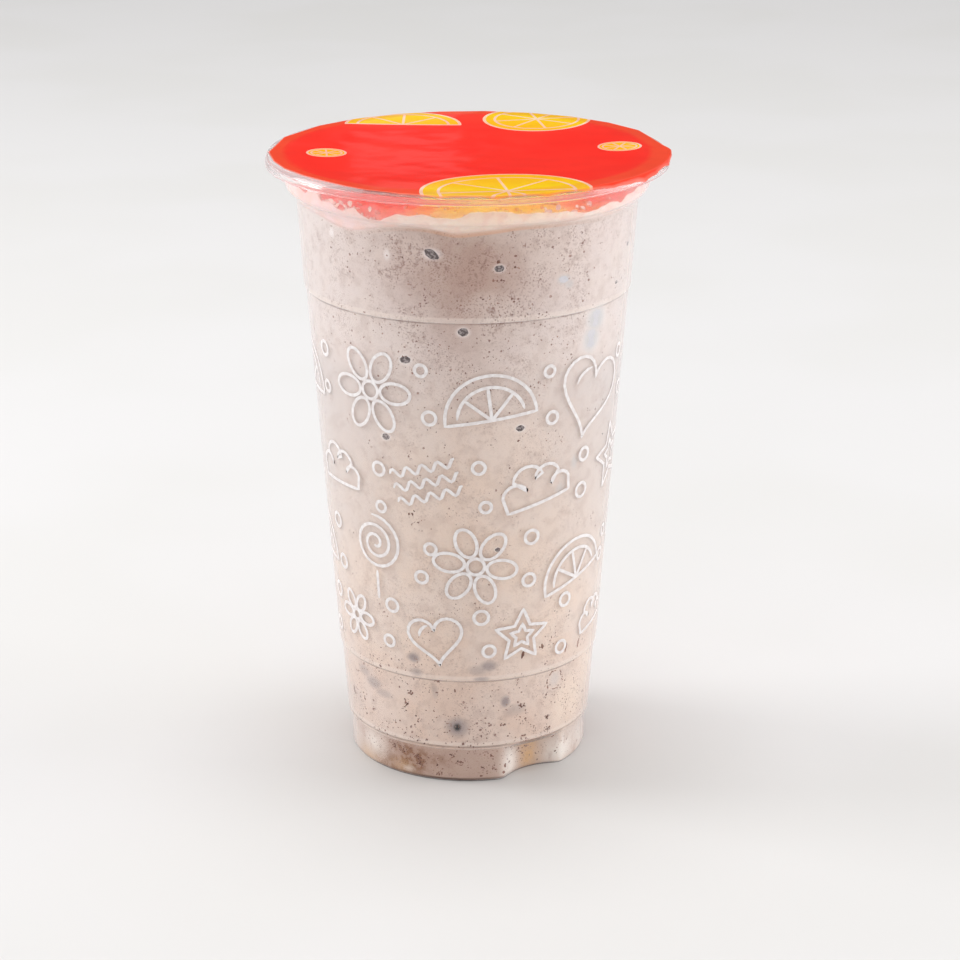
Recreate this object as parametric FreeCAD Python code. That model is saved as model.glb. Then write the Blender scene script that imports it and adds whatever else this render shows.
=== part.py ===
import FreeCAD, Part
import math
import os

# A sealed plastic cup of blended drink: a tapered cup with a stepped wall, a fluted foot and a flat
# rim, the drink that fills it, the froth on the drink and the film sealed across the rim.
# Lengths are in millimetres and angles in degrees. The axis is Z and the foot stands on Z = 0.

# Rim: a flat ring with a lip turned down round its outside
cup_height = 149.6
rim_radius = 47.5
rim_width = 4.5
rim_thickness = 1.0
lip_height = 2.5
lip_thickness = 0.9
rim_edge_round = 0.4
mouth_round = 1.0

# Wall: even thickness, with two narrow steps and a shoulder that opens into a straight collar
wall = 0.8
shoulder_drop = 11.3
shoulder_step = 2.6
shoulder_lower_round = 3.9
shoulder_upper_round = 2.4
upper_ridge_drop = 31.4
lower_ridge_height = 27.6
ridge_step = 0.45
ridge_rise = 0.3

# Foot: narrower than the wall above it, with hollow flutes pressed into its side. It stands on a
# hollow rim that the drink fills, round a floor that is raised over a recess
foot_radius = 29.2
foot_height = 8.9
ledge_width = 0.9
ledge_round = 0.5
foot_edge_round = 0.7
foot_rim_width = 3.4
foot_recess = 1.3
floor_thickness = 0.9
flute_count = 2
flute_direction = -56.0
flute_depth = 3.6
flute_radius = 15.0
flute_lip_round = 1.2
# How near to the XZ plane an upright edge of the foot lies if it is only the seam of a round side
seam_reach = 0.4

# Drink and froth: they fill the cup to its wall, and meet in a wavy surface
headspace = 5.8
froth_depth = 3.2
swell_height = 0.25
swell_length = 31.0
# How far each of the two crossing swells is skewed off its axis
swell_skews = (1 / 3, -1 / 2)
# Each wave at the wall: its direction round the axis, its rise (a dip is negative) and half its width
wall_waves = [
    (-132.0, -2.2, 14.0),
    (-92.0, -1.1, 6.0),
    (-77.0, 0.7, 7.0),
    (-20.0, -0.8, 12.0),
    (35.0, 0.9, 15.0),
    (88.0, -1.2, 13.0),
    (150.0, 0.8, 12.0),
    (200.0, -0.9, 9.0),
]
wave_grid = 24

# Film: thin, sagging a little inside the rim, and cut round with a slightly uneven edge
film_thickness = 0.25
film_inset = 0.1
film_sag = 0.9
film_shift_x = 0.8
film_shift_y = -0.8
film_corners = 27
film_edge_waver = 0.35
# How far the unevenness moves on from one corner to the next, round the edge and across it
film_waver_steps = (5.0, 3.0)

up = FreeCAD.Vector(0, 0, 1)
centre = FreeCAD.Vector(0, 0, 0)

# Heights and radii that follow from the dimensions above
collar_radius = rim_radius - rim_width
shoulder_radius = collar_radius - shoulder_step
shoulder_z = cup_height - shoulder_drop
upper_ridge_z = cup_height - upper_ridge_drop
ledge_radius = foot_radius + ledge_width
rim_underside = cup_height - rim_thickness
lip_bottom = cup_height - lip_height
floor_top = foot_recess + floor_thickness
froth_top = cup_height - headspace
froth_bottom = froth_top - froth_depth
wall_slope = (shoulder_radius - ledge_radius - 2 * ridge_step) / (shoulder_z - foot_height)


def at(radius, z):
    """A point of an outline, drawn in the XZ plane."""
    return FreeCAD.Vector(radius, 0, z)


def polyline(points):
    """Straight edges through the points."""
    return [Part.LineSegment(a, b).toShape() for a, b in zip(points, points[1:])]


def arc(mid, radius, start, end):
    """An arc round mid in the XZ plane, from one direction to another."""
    turns = (start, (start + end) / 2, end)
    points = [
        at(mid.x + radius * math.cos(math.radians(t)), mid.z + radius * math.sin(math.radians(t)))
        for t in turns
    ]
    return Part.Arc(*points).toShape()


def turned(edges):
    """The solid that a closed outline sweeps round the axis."""
    return Part.Face(Part.Wire(Part.__sortEdges__(edges))).revolve(centre, up, 360)


def wall_radius(z):
    """The outside radius of the tapered wall at a height."""
    steps = (z >= lower_ridge_height + ridge_rise) + (z >= upper_ridge_z + ridge_rise)
    return ledge_radius + wall_slope * (z - foot_height) + steps * ridge_step


def wall_line(start_z, inset):
    """The wall's outline from start_z to the foot of the collar, moved in by inset."""
    heights = [
        start_z,
        lower_ridge_height,
        lower_ridge_height + ridge_rise,
        upper_ridge_z,
        upper_ridge_z + ridge_rise,
        shoulder_z,
    ]
    return polyline([at(wall_radius(z) - inset, z) for z in heights]) + shoulder_arcs(inset)


def shoulder_arcs(inset):
    """Two arcs that carry the wall out to the collar and leave it upright."""
    rounds = shoulder_lower_round + shoulder_upper_round
    lean = math.degrees(math.acos(1 - shoulder_step / rounds))
    height = rounds * math.sin(math.radians(lean))
    low = at(shoulder_radius - inset + shoulder_lower_round, shoulder_z)
    high = at(collar_radius - inset - shoulder_upper_round, shoulder_z + height)
    return [
        arc(low, shoulder_lower_round, 180, 180 - lean),
        arc(high, shoulder_upper_round, -lean, 0),
    ]


def collar_foot_z():
    """The height where the shoulder ends and the collar begins."""
    return shoulder_arcs(0)[-1].BoundBox.ZMax


def fluted_prism(radius, flute_growth, lip_round, bottom, top):
    """An upright prism of the foot's plan, with each flute's cutter grown by flute_growth."""
    prism = Part.makeCylinder(radius, top - bottom, at(0, bottom))
    reach = foot_radius - flute_depth + flute_radius
    for i in range(flute_count):
        turn = math.radians(flute_direction + i * 360 / flute_count)
        mid = FreeCAD.Vector(reach * math.cos(turn), reach * math.sin(turn), bottom)
        prism = prism.cut(Part.makeCylinder(flute_radius + flute_growth, top - bottom, mid))
    lips = [e for e in prism.Edges if e.BoundBox.ZLength > (top - bottom) / 2 and not on_seam(e)]
    return prism.makeFillet(lip_round, lips)


def on_seam(edge):
    """Whether an upright edge is the seam of the round side, which runs along +X."""
    return edge.BoundBox.XMin > 0 and abs(edge.BoundBox.Center.y) < seam_reach


def outer_foot():
    """The foot's outside, with its lower edge rounded."""
    prism = fluted_prism(foot_radius, 0, flute_lip_round, 0, foot_height)
    lower = [e for e in prism.Edges if e.BoundBox.ZMax < foot_edge_round]
    return prism.makeFillet(foot_edge_round, lower)


def outer_body():
    """Everything outside above the foot: the wall, the collar and the rim with its lip."""
    ledge_mid = at(ledge_radius - ledge_round, foot_height + ledge_round)
    edges = polyline([at(0, foot_height), at(ledge_mid.x, foot_height)])
    edges.append(arc(ledge_mid, ledge_round, -90, 0))
    edges += polyline([at(ledge_radius, ledge_mid.z), at(wall_radius(ledge_mid.z), ledge_mid.z)])
    edges += wall_line(ledge_mid.z, 0)
    edges += polyline(
        [
            at(collar_radius, collar_foot_z()),
            at(collar_radius, rim_underside),
            at(rim_radius - lip_thickness, rim_underside),
            at(rim_radius - lip_thickness, lip_bottom),
            at(rim_radius, lip_bottom),
            at(rim_radius, cup_height - rim_edge_round),
        ]
    )
    edge_mid = at(rim_radius - rim_edge_round, cup_height - rim_edge_round)
    edges.append(arc(edge_mid, rim_edge_round, 0, 90))
    edges += polyline(
        [at(rim_radius - rim_edge_round, cup_height), at(0, cup_height), at(0, foot_height)]
    )
    return turned(edges)


def cavity():
    """The space inside the cup, up to the plane of the rim."""
    shelf_z = foot_height + wall
    mouth_radius = collar_radius - wall
    edges = wall_line(shelf_z, wall)
    edges += polyline([at(0, shelf_z), at(wall_radius(shelf_z) - wall, shelf_z)])
    edges += polyline([at(mouth_radius, collar_foot_z()), at(mouth_radius, cup_height - mouth_round)])
    edges.append(arc(at(mouth_radius + mouth_round, cup_height - mouth_round), mouth_round, 180, 90))
    edges += polyline(
        [at(mouth_radius + mouth_round, cup_height), at(0, cup_height), at(0, shelf_z)]
    )
    return turned(edges).fuse(well(shelf_z)).removeSplitter()


def well(top):
    """The space inside the foot: a groove round a floor that stands higher, over the recess."""
    lip_round = max(flute_lip_round - wall, wall / 2)
    space = fluted_prism(foot_radius - wall, wall, lip_round, wall, top)
    groove_side = foot_rim_width - wall
    raised_floor = fluted_prism(foot_radius - groove_side, groove_side, wall / 2, 0, floor_top)
    return space.cut(raised_floor)


def make_cup(space):
    """The cup: its outside less the space inside it and the recess under its floor."""
    recess_radius = foot_radius - foot_rim_width
    recess = fluted_prism(recess_radius, foot_rim_width, wall / 2, 0, foot_recess)
    return outer_body().fuse(outer_foot()).cut(space).cut(recess).removeSplitter()


def swell(x, y):
    """Low cross-waves all over the drink."""
    turn = 2 * math.pi / swell_length
    along_x, along_y = x + swell_skews[0] * y, y + swell_skews[1] * x
    return swell_height * (math.sin(turn * along_x) + math.cos(turn * along_y))


def wave(x, y):
    """The rise of the drink's surface under the froth: the swell, and the waves along the wall."""
    total = swell(x, y)
    near_wall = min(1.0, math.hypot(x, y) / shoulder_radius) ** 2
    for direction, rise, half_width in wall_waves:
        off = (math.degrees(math.atan2(y, x)) - direction + 180) % 360 - 180
        total += near_wall * rise * math.exp(-((off / half_width) ** 2))
    return total


def block_under(level, rise):
    """A block whose top is the wavy surface level + rise(x, y), wider than the cup."""
    half = rim_radius + wall
    steps = [half * (2 * i / wave_grid - 1) for i in range(wave_grid + 1)]
    grid = [[FreeCAD.Vector(x, y, level + rise(x, y)) for y in steps] for x in steps]
    surface = Part.BSplineSurface()
    surface.interpolate(grid)
    return surface.toShape().extrude(FreeCAD.Vector(0, 0, -level - wall))


def make_contents(space):
    """The drink and the froth on it, which together fill the cup up to the headspace."""
    contents = space.common(block_under(froth_top, swell))
    below = block_under(froth_bottom, wave)
    return contents.common(below), contents.cut(below)


def film_outline():
    """The film's cut edge: shallow arcs that meet at uneven corners."""
    radius = rim_radius - film_inset
    step = 2 * math.pi / film_corners
    round_step, across_step = film_waver_steps
    corners, bulges = [], []
    for i in range(film_corners):
        turn = step * (i + film_edge_waver * math.sin(round_step * i))
        halfway = turn + step / 2
        out = radius - film_edge_waver * (1 + math.sin(across_step * i))
        corners.append(around_film(out, turn))
        bulges.append(around_film(radius - film_edge_waver / 2, halfway))
    ends = zip(corners, bulges, corners[1:] + corners[:1])
    return Part.Wire([Part.Arc(a, b, c).toShape() for a, b, c in ends])


def around_film(radius, turn):
    """A point round the middle of the film, level with the foot."""
    x = film_shift_x + radius * math.cos(turn)
    y = film_shift_y + radius * math.sin(turn)
    return FreeCAD.Vector(x, y, 0)


def make_film():
    """The film: flat on the rim, sagging inside it, trimmed to its cut edge."""
    seal_radius = collar_radius - wall + mouth_round
    sphere_radius = (seal_radius**2 + film_sag**2) / (2 * film_sag)
    lean = math.degrees(math.asin(seal_radius / sphere_radius))
    edges = []
    for z in (cup_height, cup_height + film_thickness):
        edges.append(arc(at(0, z - film_sag + sphere_radius), sphere_radius, -90, lean - 90))
        edges += polyline([at(seal_radius, z), at(rim_radius + rim_width, z)])
    for radius, drop in ((0, film_sag), (rim_radius + rim_width, 0)):
        z = cup_height - drop
        edges += polyline([at(radius, z), at(radius, z + film_thickness)])
    cutter = Part.Face(film_outline()).extrude(up * (cup_height + film_thickness))
    return turned(edges).common(cutter)


def save(name, shape):
    """Writes one solid to its STEP file and prints its volume in millilitres."""
    solid = shape.Solids[0]
    print(f"{name}: {len(shape.Solids)} solid, valid {solid.isValid()}, {solid.Volume / 1000:.2f} ml")
    solid.exportStep(f"parts/{name}.step")


os.makedirs("parts", exist_ok=True)
inside = cavity()
smoothie, froth = make_contents(inside)
save("cup", make_cup(inside))
save("smoothie", smoothie)
save("froth", froth)
save("film", make_film())
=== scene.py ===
# %% [markdown]
# # A sealed cup of blended milk drink
# The object is a takeaway drink: a tapered clear cup with a white line print, a thick beige drink with
# biscuit crumbs in it, a pale froth on top, and a thin red film sealed across the flat rim.
# The cup, drink, froth and film come from a CAD model, which fixes every size. Here each of them is
# built again as a finer mesh with its real finish, and what the CAD model leaves out is added: the
# crumbs, the air bubbles, the ice, the foam bubbles, the print and the creases in the film.

import math
import random

import bpy
import numpy as np
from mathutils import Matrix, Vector, noise


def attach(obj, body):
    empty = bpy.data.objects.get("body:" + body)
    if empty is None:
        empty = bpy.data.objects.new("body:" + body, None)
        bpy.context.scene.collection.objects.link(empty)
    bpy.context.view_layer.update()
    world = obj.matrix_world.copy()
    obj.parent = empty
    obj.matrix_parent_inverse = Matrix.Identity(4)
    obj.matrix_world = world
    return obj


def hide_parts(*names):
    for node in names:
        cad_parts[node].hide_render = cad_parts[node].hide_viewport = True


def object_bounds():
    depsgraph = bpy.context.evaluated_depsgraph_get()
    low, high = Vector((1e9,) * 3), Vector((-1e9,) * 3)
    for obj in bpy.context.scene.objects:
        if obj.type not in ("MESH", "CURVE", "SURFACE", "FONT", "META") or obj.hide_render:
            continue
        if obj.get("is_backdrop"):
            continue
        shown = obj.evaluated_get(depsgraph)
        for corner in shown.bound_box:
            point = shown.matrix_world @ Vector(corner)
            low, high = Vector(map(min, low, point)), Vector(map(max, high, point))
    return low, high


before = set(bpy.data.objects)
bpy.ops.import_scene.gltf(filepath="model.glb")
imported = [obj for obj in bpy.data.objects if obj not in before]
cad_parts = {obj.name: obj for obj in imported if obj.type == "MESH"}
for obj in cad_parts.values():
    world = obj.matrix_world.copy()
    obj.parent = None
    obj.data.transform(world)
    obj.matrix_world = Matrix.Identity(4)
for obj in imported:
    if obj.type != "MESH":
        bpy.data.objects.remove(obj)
cad_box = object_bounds()
MM = 0.001
print("CAD box, mm:", [[round(c / MM, 2) for c in corner] for corner in cad_box])

# %% [markdown]
# ## Sizes
# A cup like this is drawn as one outline that is turned round an axis. The sizes are the CAD model's, in
# millimetres, so that each new mesh lies where the CAD solid does. Directions round the cup are given as
# a turn in degrees: 0 is the front (-Y) and a positive turn goes to the viewer's right (+X).

# %% The cup's sizes
cup_height = 149.6
rim_radius, rim_width, rim_thickness = 47.5, 4.5, 1.0
lip_height, lip_thickness = 2.5, 0.9
wall = 0.8
collar_radius = rim_radius - rim_width
shoulder_z, shoulder_radius = 138.3, 40.4
upper_ridge_z, lower_ridge_z = 118.2, 27.6
ridge_step, ridge_rise = 0.45, 0.3
foot_radius, foot_height, ledge_radius = 29.2, 8.9, 30.1
foot_rim_width, foot_recess, floor_top = 3.4, 1.3, 2.2
groove_radius = foot_radius - (foot_rim_width - wall)
flute_turns, flute_depth, flute_radius = (34.0, 214.0), 3.6, 15.0
flute_lip_round = 1.2
edge_drop, edge_slope = 1.6, 0.55
shoulder_lower_round, shoulder_upper_round = 3.9, 2.4
shoulder_rounds = shoulder_lower_round + shoulder_upper_round
froth_top, froth_bottom = 143.8, 140.6
lean = math.acos(1 - (collar_radius - shoulder_radius) / shoulder_rounds)
collar_foot_z = shoulder_z + shoulder_rounds * math.sin(lean)
wall_slope = (shoulder_radius - ledge_radius - 2 * ridge_step) / (shoulder_z - foot_height)


def taper(z):
    """The outside radius of the plain tapered wall at a height, with its two narrow steps."""
    steps = (z >= lower_ridge_z + ridge_rise) + (z >= upper_ridge_z + ridge_rise)
    return ledge_radius + wall_slope * (z - foot_height) + steps * ridge_step


print("collar starts at", round(collar_foot_z, 2), "mm; slope of the wall", round(wall_slope, 4))

# %% [markdown]
# ## Turns round the cup
# Nearly every place on the cup is a turn, a height and a distance from the axis. A few short helpers go
# from these to x, y and z and back, measure how far apart two turns are, and fade a mark out round its
# middle. They are plain Python: such sums are needed both for meshes and for the marks on them.

# %% Turns and soft humps


def on_round(radius, turn, z):
    """The point at a distance from the axis, a turn in degrees and a height."""
    a = math.radians(turn)
    return (radius * math.sin(a), -radius * math.cos(a), z)


def turn_of(x, y):
    """The turn of a point round the cup, in degrees."""
    return math.degrees(math.atan2(x, -y))


def around(turn, centre):
    """How far a turn is from a centre, the short way round."""
    return (turn - centre + 180) % 360 - 180


def bell(value, half_width):
    """A soft hump: 1 where the value is 0, and nearly 0 two half widths away."""
    return math.exp(-((value / half_width) ** 2))


def clamped(value):
    """A number held between 0 and 1."""
    return min(1.0, max(0.0, value))


print("from 350 to 10 degrees is", around(10, 350), "degrees; a hump falls to", round(bell(1, 1), 2))

# %% [markdown]
# ## Rounded outlines
# Moulded plastic has no sharp corners: each one catches a thin line of light. An outline is written as
# its corners with a radius for each, and one helper turns every corner into a short arc. That is quicker
# to read and to change than a bevel modifier, and it keeps the rows of points in order for the turning.

# %% Round the corners of an outline


def rounded(corners, steps=5):
    """Rows (radius, z, fluted) along an outline of corners (radius, z, round, fluted)."""
    rows = []
    for i, (r, z, size, fluted) in enumerate(corners):
        here = Vector((r, z))
        if size == 0 or i in (0, len(corners) - 1):
            rows.append((r, z, fluted))
            continue
        before = Vector(corners[i - 1][:2]) - here
        after = Vector(corners[i + 1][:2]) - here
        turn = before.angle(after)
        reach = size / math.tan(turn / 2)
        start, end = here + before.normalized() * reach, here + after.normalized() * reach
        middle = here + (before.normalized() + after.normalized()).normalized() * size / math.sin(turn / 2)
        for k in range(steps + 1):
            chord = start.lerp(end, k / steps) - middle
            point = middle + chord.normalized() * size
            rows.append((point.x, point.y, fluted))
    return rows


def wall_corners(inset):
    """The corners of the wall from the lower ridge to the collar, moved in by inset."""
    low = shoulder_z + shoulder_lower_round * math.tan(lean / 2)
    high = collar_foot_z - shoulder_upper_round * math.tan(lean / 2)
    ridge = [
        (taper(z) - inset, z, 0.2, False)
        for start in (lower_ridge_z, upper_ridge_z)
        for z in (start, start + ridge_rise)
    ]
    return ridge + [
        (shoulder_radius - inset, low, shoulder_lower_round, False),
        (collar_radius - inset, high, shoulder_upper_round, False),
    ]


outer_side = rounded(
    [(ledge_radius, foot_height, 0, False)] + wall_corners(0) + [(collar_radius, cup_height, 0, False)]
)
side_z = np.array([z for _, z, _ in outer_side])
side_r = np.array([r for r, _, _ in outer_side])
print("outer side:", len(outer_side), "rows, from", outer_side[0][1], "to", outer_side[-1][1], "mm")

# %% [markdown]
# ## Places on the wall
# The foot has two flutes pressed into it, which stop it from buckling. Cutting them with a boolean would
# leave long thin triangles, so the radius itself is worked out with the flutes in it, and their lips
# softened. Later steps only have to ask for the radius or the point at a turn and a height.

# %% The flutes and the outside of the cup


def flute_cut(turn, radius):
    """The radius left at a turn when the foot's flutes are pressed into a round of that radius."""
    reach = foot_radius - flute_depth + flute_radius
    size = flute_radius + foot_radius - radius
    for centre in flute_turns:
        off = math.radians(around(turn, centre))
        inside = size**2 - (reach * math.sin(off)) ** 2
        if abs(off) < math.pi / 2 and inside > 0:
            cut = reach * math.cos(off) - math.sqrt(inside)
            soft = max(flute_lip_round - abs(radius - cut), 0)
            return min(radius, cut) - soft * soft / (4 * flute_lip_round)
    return radius


def skin_radius(turn, z, inset=0.0):
    """The radius of the cup's outside at a turn and height, moved in by inset."""
    if z < foot_height:
        return flute_cut(turn, foot_radius - inset)
    return float(np.interp(z, side_z, side_r)) - inset


def spot(turn, z, inset=0.0):
    """A point on the wall, in millimetres."""
    return on_round(skin_radius(turn, z, inset), turn, z)


flute_bottom = flute_cut(flute_turns[0], foot_radius)
print("a flute is", round(foot_radius - flute_bottom, 2), "mm deep")

# %% [markdown]
# ## From rows to a mesh
# Turning an outline by hand, instead of with a Screw modifier, lets every row bend on its own: the foot's
# rows follow the flutes and the drink's top rows follow a wavy line. The helper that makes a piece also
# marks the sharp edges, puts the finish on, and says which CAD body the piece moves with.

# %% Make pieces
columns = 320
fluted_from = foot_radius - 2.5 * foot_rim_width


def make_piece(name, points, faces, finish, slot, smooth=True):
    """A mesh piece from points in millimetres, riding on the one body of the cup."""
    mesh = bpy.data.meshes.new(name)
    mesh.from_pydata([(x * MM, y * MM, z * MM) for x, y, z in points], [], faces)
    mesh.validate()
    mesh.polygons.foreach_set("use_smooth", [smooth] * len(mesh.polygons))
    mesh.set_sharp_from_angle(angle=math.radians(50))
    mesh.materials.append(finish)
    piece = bpy.data.objects.new(name, mesh)
    bpy.context.scene.collection.objects.link(piece)
    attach(piece, "root")
    print(f"{name}: {len(mesh.vertices)} points, {len(mesh.polygons)} faces")
    return piece


def turned(rows, place, count=columns):
    """Points and faces of a closed body whose first and last rows are single points on the axis."""
    points = [place(0, rows[0])]
    for row in rows[1:-1]:
        points += [place(360 * i / count, row) for i in range(count)]
    points.append(place(0, rows[-1]))
    rings = len(rows) - 2
    faces = []
    for i in range(count):
        j = (i + 1) % count
        faces.append((0, 1 + j, 1 + i))
        for k in range(rings - 1):
            a, b = 1 + k * count, 1 + (k + 1) * count
            faces.append((a + i, a + j, b + j, b + i))
        last = 1 + (rings - 1) * count
        faces.append((last + i, last + j, len(points) - 1))
    return points, faces


def fluted_place(turn, row):
    """Where an outline's row lies at a turn."""
    r, z, fluted = row
    if fluted and r > fluted_from:
        r = flute_cut(turn, r)
    return on_round(r, turn, z)


def note(piece, name, values):
    """Writes a number on each point of a piece, for its finish to read."""
    piece.data.attributes.new(name, "FLOAT", "POINT").data.foreach_set("value", values)


column_width = 2 * math.pi * rim_radius / columns
print("a turned piece has", columns, "columns, each", round(column_width, 2), "mm wide at the rim")

# %% [markdown]
# ## Finishes are node trees
# Every finish is worked out from a point's place in the object, so nothing depends on a picture or on
# unwrapping. Short helpers keep the trees readable: the first ones open a finish, add a node and join
# its sockets, and read a number that was noted on the mesh.

# %% Open a finish and add nodes


def colour(red, green, blue):
    """A colour as mixed on a screen, 0 to 255, as the linear numbers that shaders take."""
    part = [c / 255 for c in (red, green, blue)]
    return tuple(c / 12.92 if c <= 0.04045 else ((c + 0.055) / 1.055) ** 2.4 for c in part) + (1.0,)


def new_finish(name):
    """An empty material with its output; returns its tree, the output and the place in millimetres."""
    finish = bpy.data.materials.new(name)
    finish.use_nodes = True
    tree = finish.node_tree
    tree.nodes.clear()
    out = tree.nodes.new("ShaderNodeOutputMaterial")
    where = tree.nodes.new("ShaderNodeTexCoord").outputs["Object"]
    place = add(tree, "VectorMath", [where, None, None, 1 / MM], operation="SCALE").outputs[0]
    return finish, tree, out, place


def give(tree, socket, value):
    """Links another node's output to a socket, or writes a plain value in it."""
    if isinstance(value, bpy.types.NodeSocket):
        tree.links.new(value, socket)
    else:
        socket.default_value = value


def add(tree, kind, values=(), **settings):
    """A node with its settings, and its inputs given in order; None leaves an input as it is."""
    node = tree.nodes.new("ShaderNode" + kind)
    for key, value in settings.items():
        setattr(node, key, value)
    for socket, value in zip(node.inputs, values):
        if value is not None:
            give(tree, socket, value)
    return node


def noted(tree, name):
    """A number written on the mesh's points."""
    return add(tree, "Attribute", attribute_name=name).outputs["Fac"]


print("middle grey on a screen is", round(colour(128, 128, 128)[0], 3), "for a shader")

# %% [markdown]
# ## Sums, blends and patterns
# A finish is mostly layers of colour, each with its own share of the surface, and a share is worked out
# from heights, patterns and marks. These helpers name the handful of nodes that do it, so that a finish
# further down reads as a recipe: what is laid over what, how strongly, and where.

# %% Helpers for sums and blends


def maths(tree, operation, *values):
    """The result of a Math node."""
    return add(tree, "Math", values, operation=operation).outputs[0]


def times(tree, first, second):
    """The product of two numbers."""
    return maths(tree, "MULTIPLY", first, second)


def largest(tree, *values):
    """The largest of a few numbers."""
    top = values[0]
    for value in values[1:]:
        top = maths(tree, "MAXIMUM", top, value)
    return top


def near(tree, value, target, margin):
    """1 where a value lies within a margin of a target, and 0 elsewhere."""
    return maths(tree, "LESS_THAN", maths(tree, "ABSOLUTE", maths(tree, "SUBTRACT", value, target)), margin)


def ranged(tree, value, low, high, to_low, to_high, smooth=True):
    """A value moved from one range to another and held inside it."""
    kind = "SMOOTHSTEP" if smooth else "LINEAR"
    return add(tree, "MapRange", [value, low, high, to_low, to_high], interpolation_type=kind).outputs[0]


def band(tree, height, low, high, soft):
    """1 between two heights and 0 outside, with soft edges."""
    above = ranged(tree, height, low - soft, low, 0.0, 1.0)
    return times(tree, above, ranged(tree, height, high, high + soft, 1.0, 0.0))


def blended_number(tree, share, first, second):
    """The number between first and second, by share."""
    return add(tree, "Mix", [share, None, first, second], data_type="FLOAT").outputs[0]


def blended(tree, share, first, second):
    """The colour between first and second, by share."""
    node = add(tree, "Mix", data_type="RGBA")
    for socket, value in zip((node.inputs[0], node.inputs[6], node.inputs[7]), (share, first, second)):
        give(tree, socket, value)
    return node.outputs[2]


def tinted(tree, base, share, strength, *shade):
    """A colour with another one laid over it: where share says, as strongly as strength says."""
    return blended(tree, times(tree, share, strength), base, colour(*shade))


def away_from_axis(tree, place):
    """The distance from the cup's axis, in millimetres."""
    parts = add(tree, "SeparateXYZ", [place]).outputs
    flat = add(tree, "CombineXYZ", [parts[0], parts[1], 0.0]).outputs[0]
    return add(tree, "VectorMath", [flat], operation="LENGTH").outputs["Value"]


def speckled(tree, place, grain, detail, *rest):
    """The plain number of a noise whose patches are about grain millimetres wide."""
    return add(tree, "TexNoise", [place, None, 1 / grain, detail, *rest]).outputs[0]


def cloud(tree, place, grain, detail=3.0, low=0.4, high=0.6):
    """A cloudy pattern from 0 to 1 whose patches are about grain millimetres wide."""
    return ranged(tree, speckled(tree, place, grain, detail), low, high, 0.0, 1.0)


print("a pattern of 2 mm patches has a scale of", 1 / 2, "in a place that counts millimetres")

# %% Helpers for shaders


def shader(tree, **sockets):
    """A Principled shader; a word's underscores stand for the spaces in a socket's name."""
    node = tree.nodes.new("ShaderNodeBsdfPrincipled")
    for name, value in sockets.items():
        give(tree, node.inputs[name.replace("_", " ")], value)
    return node


def mixed(tree, share, first, second):
    """Two shaders in one: the second one's share is given."""
    return add(tree, "MixShader", [share, first.outputs[0], second.outputs[0]])


def finished(tree, out, surface):
    """Joins a shader to the output."""
    tree.links.new(surface.outputs[0], out.inputs["Surface"])


def bump(tree, height, size, strength=1.0):
    """A normal bent by a height pattern; size is the depth of the pattern in millimetres."""
    return add(tree, "Bump", [strength, size * MM, None, height]).outputs[0]


print("a bump of 0.15 mm is", 0.15 * MM, "in Blender's metres")

# %% [markdown]
# ## The clear cup
# The cup is pressed from polypropylene sheet: clear, a little milky, with a soft gloss. It is a shader
# that bends light, with some milk mixed in. The milk grows where the wall is seen at a slant, because the
# light then has further to go through the plastic. It also grows on the rim, most of all where the film
# leaves it bare. Lamps would have to find their way through a bending wall by chance, which is slow and
# grainy, so for shadow and scattered rays the wall is simply clear.

# %% The cup's finish


def see_through(name, bend, rough, milk_ahead, milk_aslant, milk_rim):
    """A clear finish that bends light, with its shares of milk: straight on, at a slant, in the rim."""
    finish, tree, out, place = new_finish(name)
    patches = cloud(tree, place, 9.0, 2.0)
    ripple = speckled(tree, place, 14.0, 1.0)
    glass = shader(
        tree,
        Base_Color=(0.99, 0.985, 0.985, 1),
        Roughness=ranged(tree, patches, 0, 1, rough, rough + 0.04),
        IOR=bend,
        Transmission_Weight=1.0,
        Normal=bump(tree, ripple, 0.15),
    )
    lit = add(tree, "BsdfDiffuse", [(0.76, 0.75, 0.765, 1)])
    glowing = add(tree, "BsdfTranslucent", [(0.86, 0.85, 0.86, 1)])
    milk = mixed(tree, 0.4, lit, glowing)
    slant = add(tree, "LayerWeight", [0.5]).outputs["Facing"]
    in_wall = ranged(tree, slant, 0.15, 1.0, milk_ahead, milk_aslant)
    out_there = away_from_axis(tree, place)
    in_rim = ranged(tree, out_there, collar_radius + 0.4, collar_radius + 2.0, 0.0, milk_rim)
    share = largest(tree, in_wall, in_rim, times(tree, noted(tree, "bare"), 0.4))
    clear = add(tree, "BsdfTransparent", [(0.97, 0.965, 0.97, 1)])
    path = add(tree, "LightPath").outputs
    open_to = largest(tree, path["Is Shadow Ray"], path["Is Diffuse Ray"])
    finished(tree, out, mixed(tree, open_to, mixed(tree, share, glass, milk), clear))
    return finish


clear_plastic = see_through("clear_plastic", 1.49, 0.06, 0.02, 0.34, 0.09)
print("the clear plastic has", len(clear_plastic.node_tree.nodes), "nodes")

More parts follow.
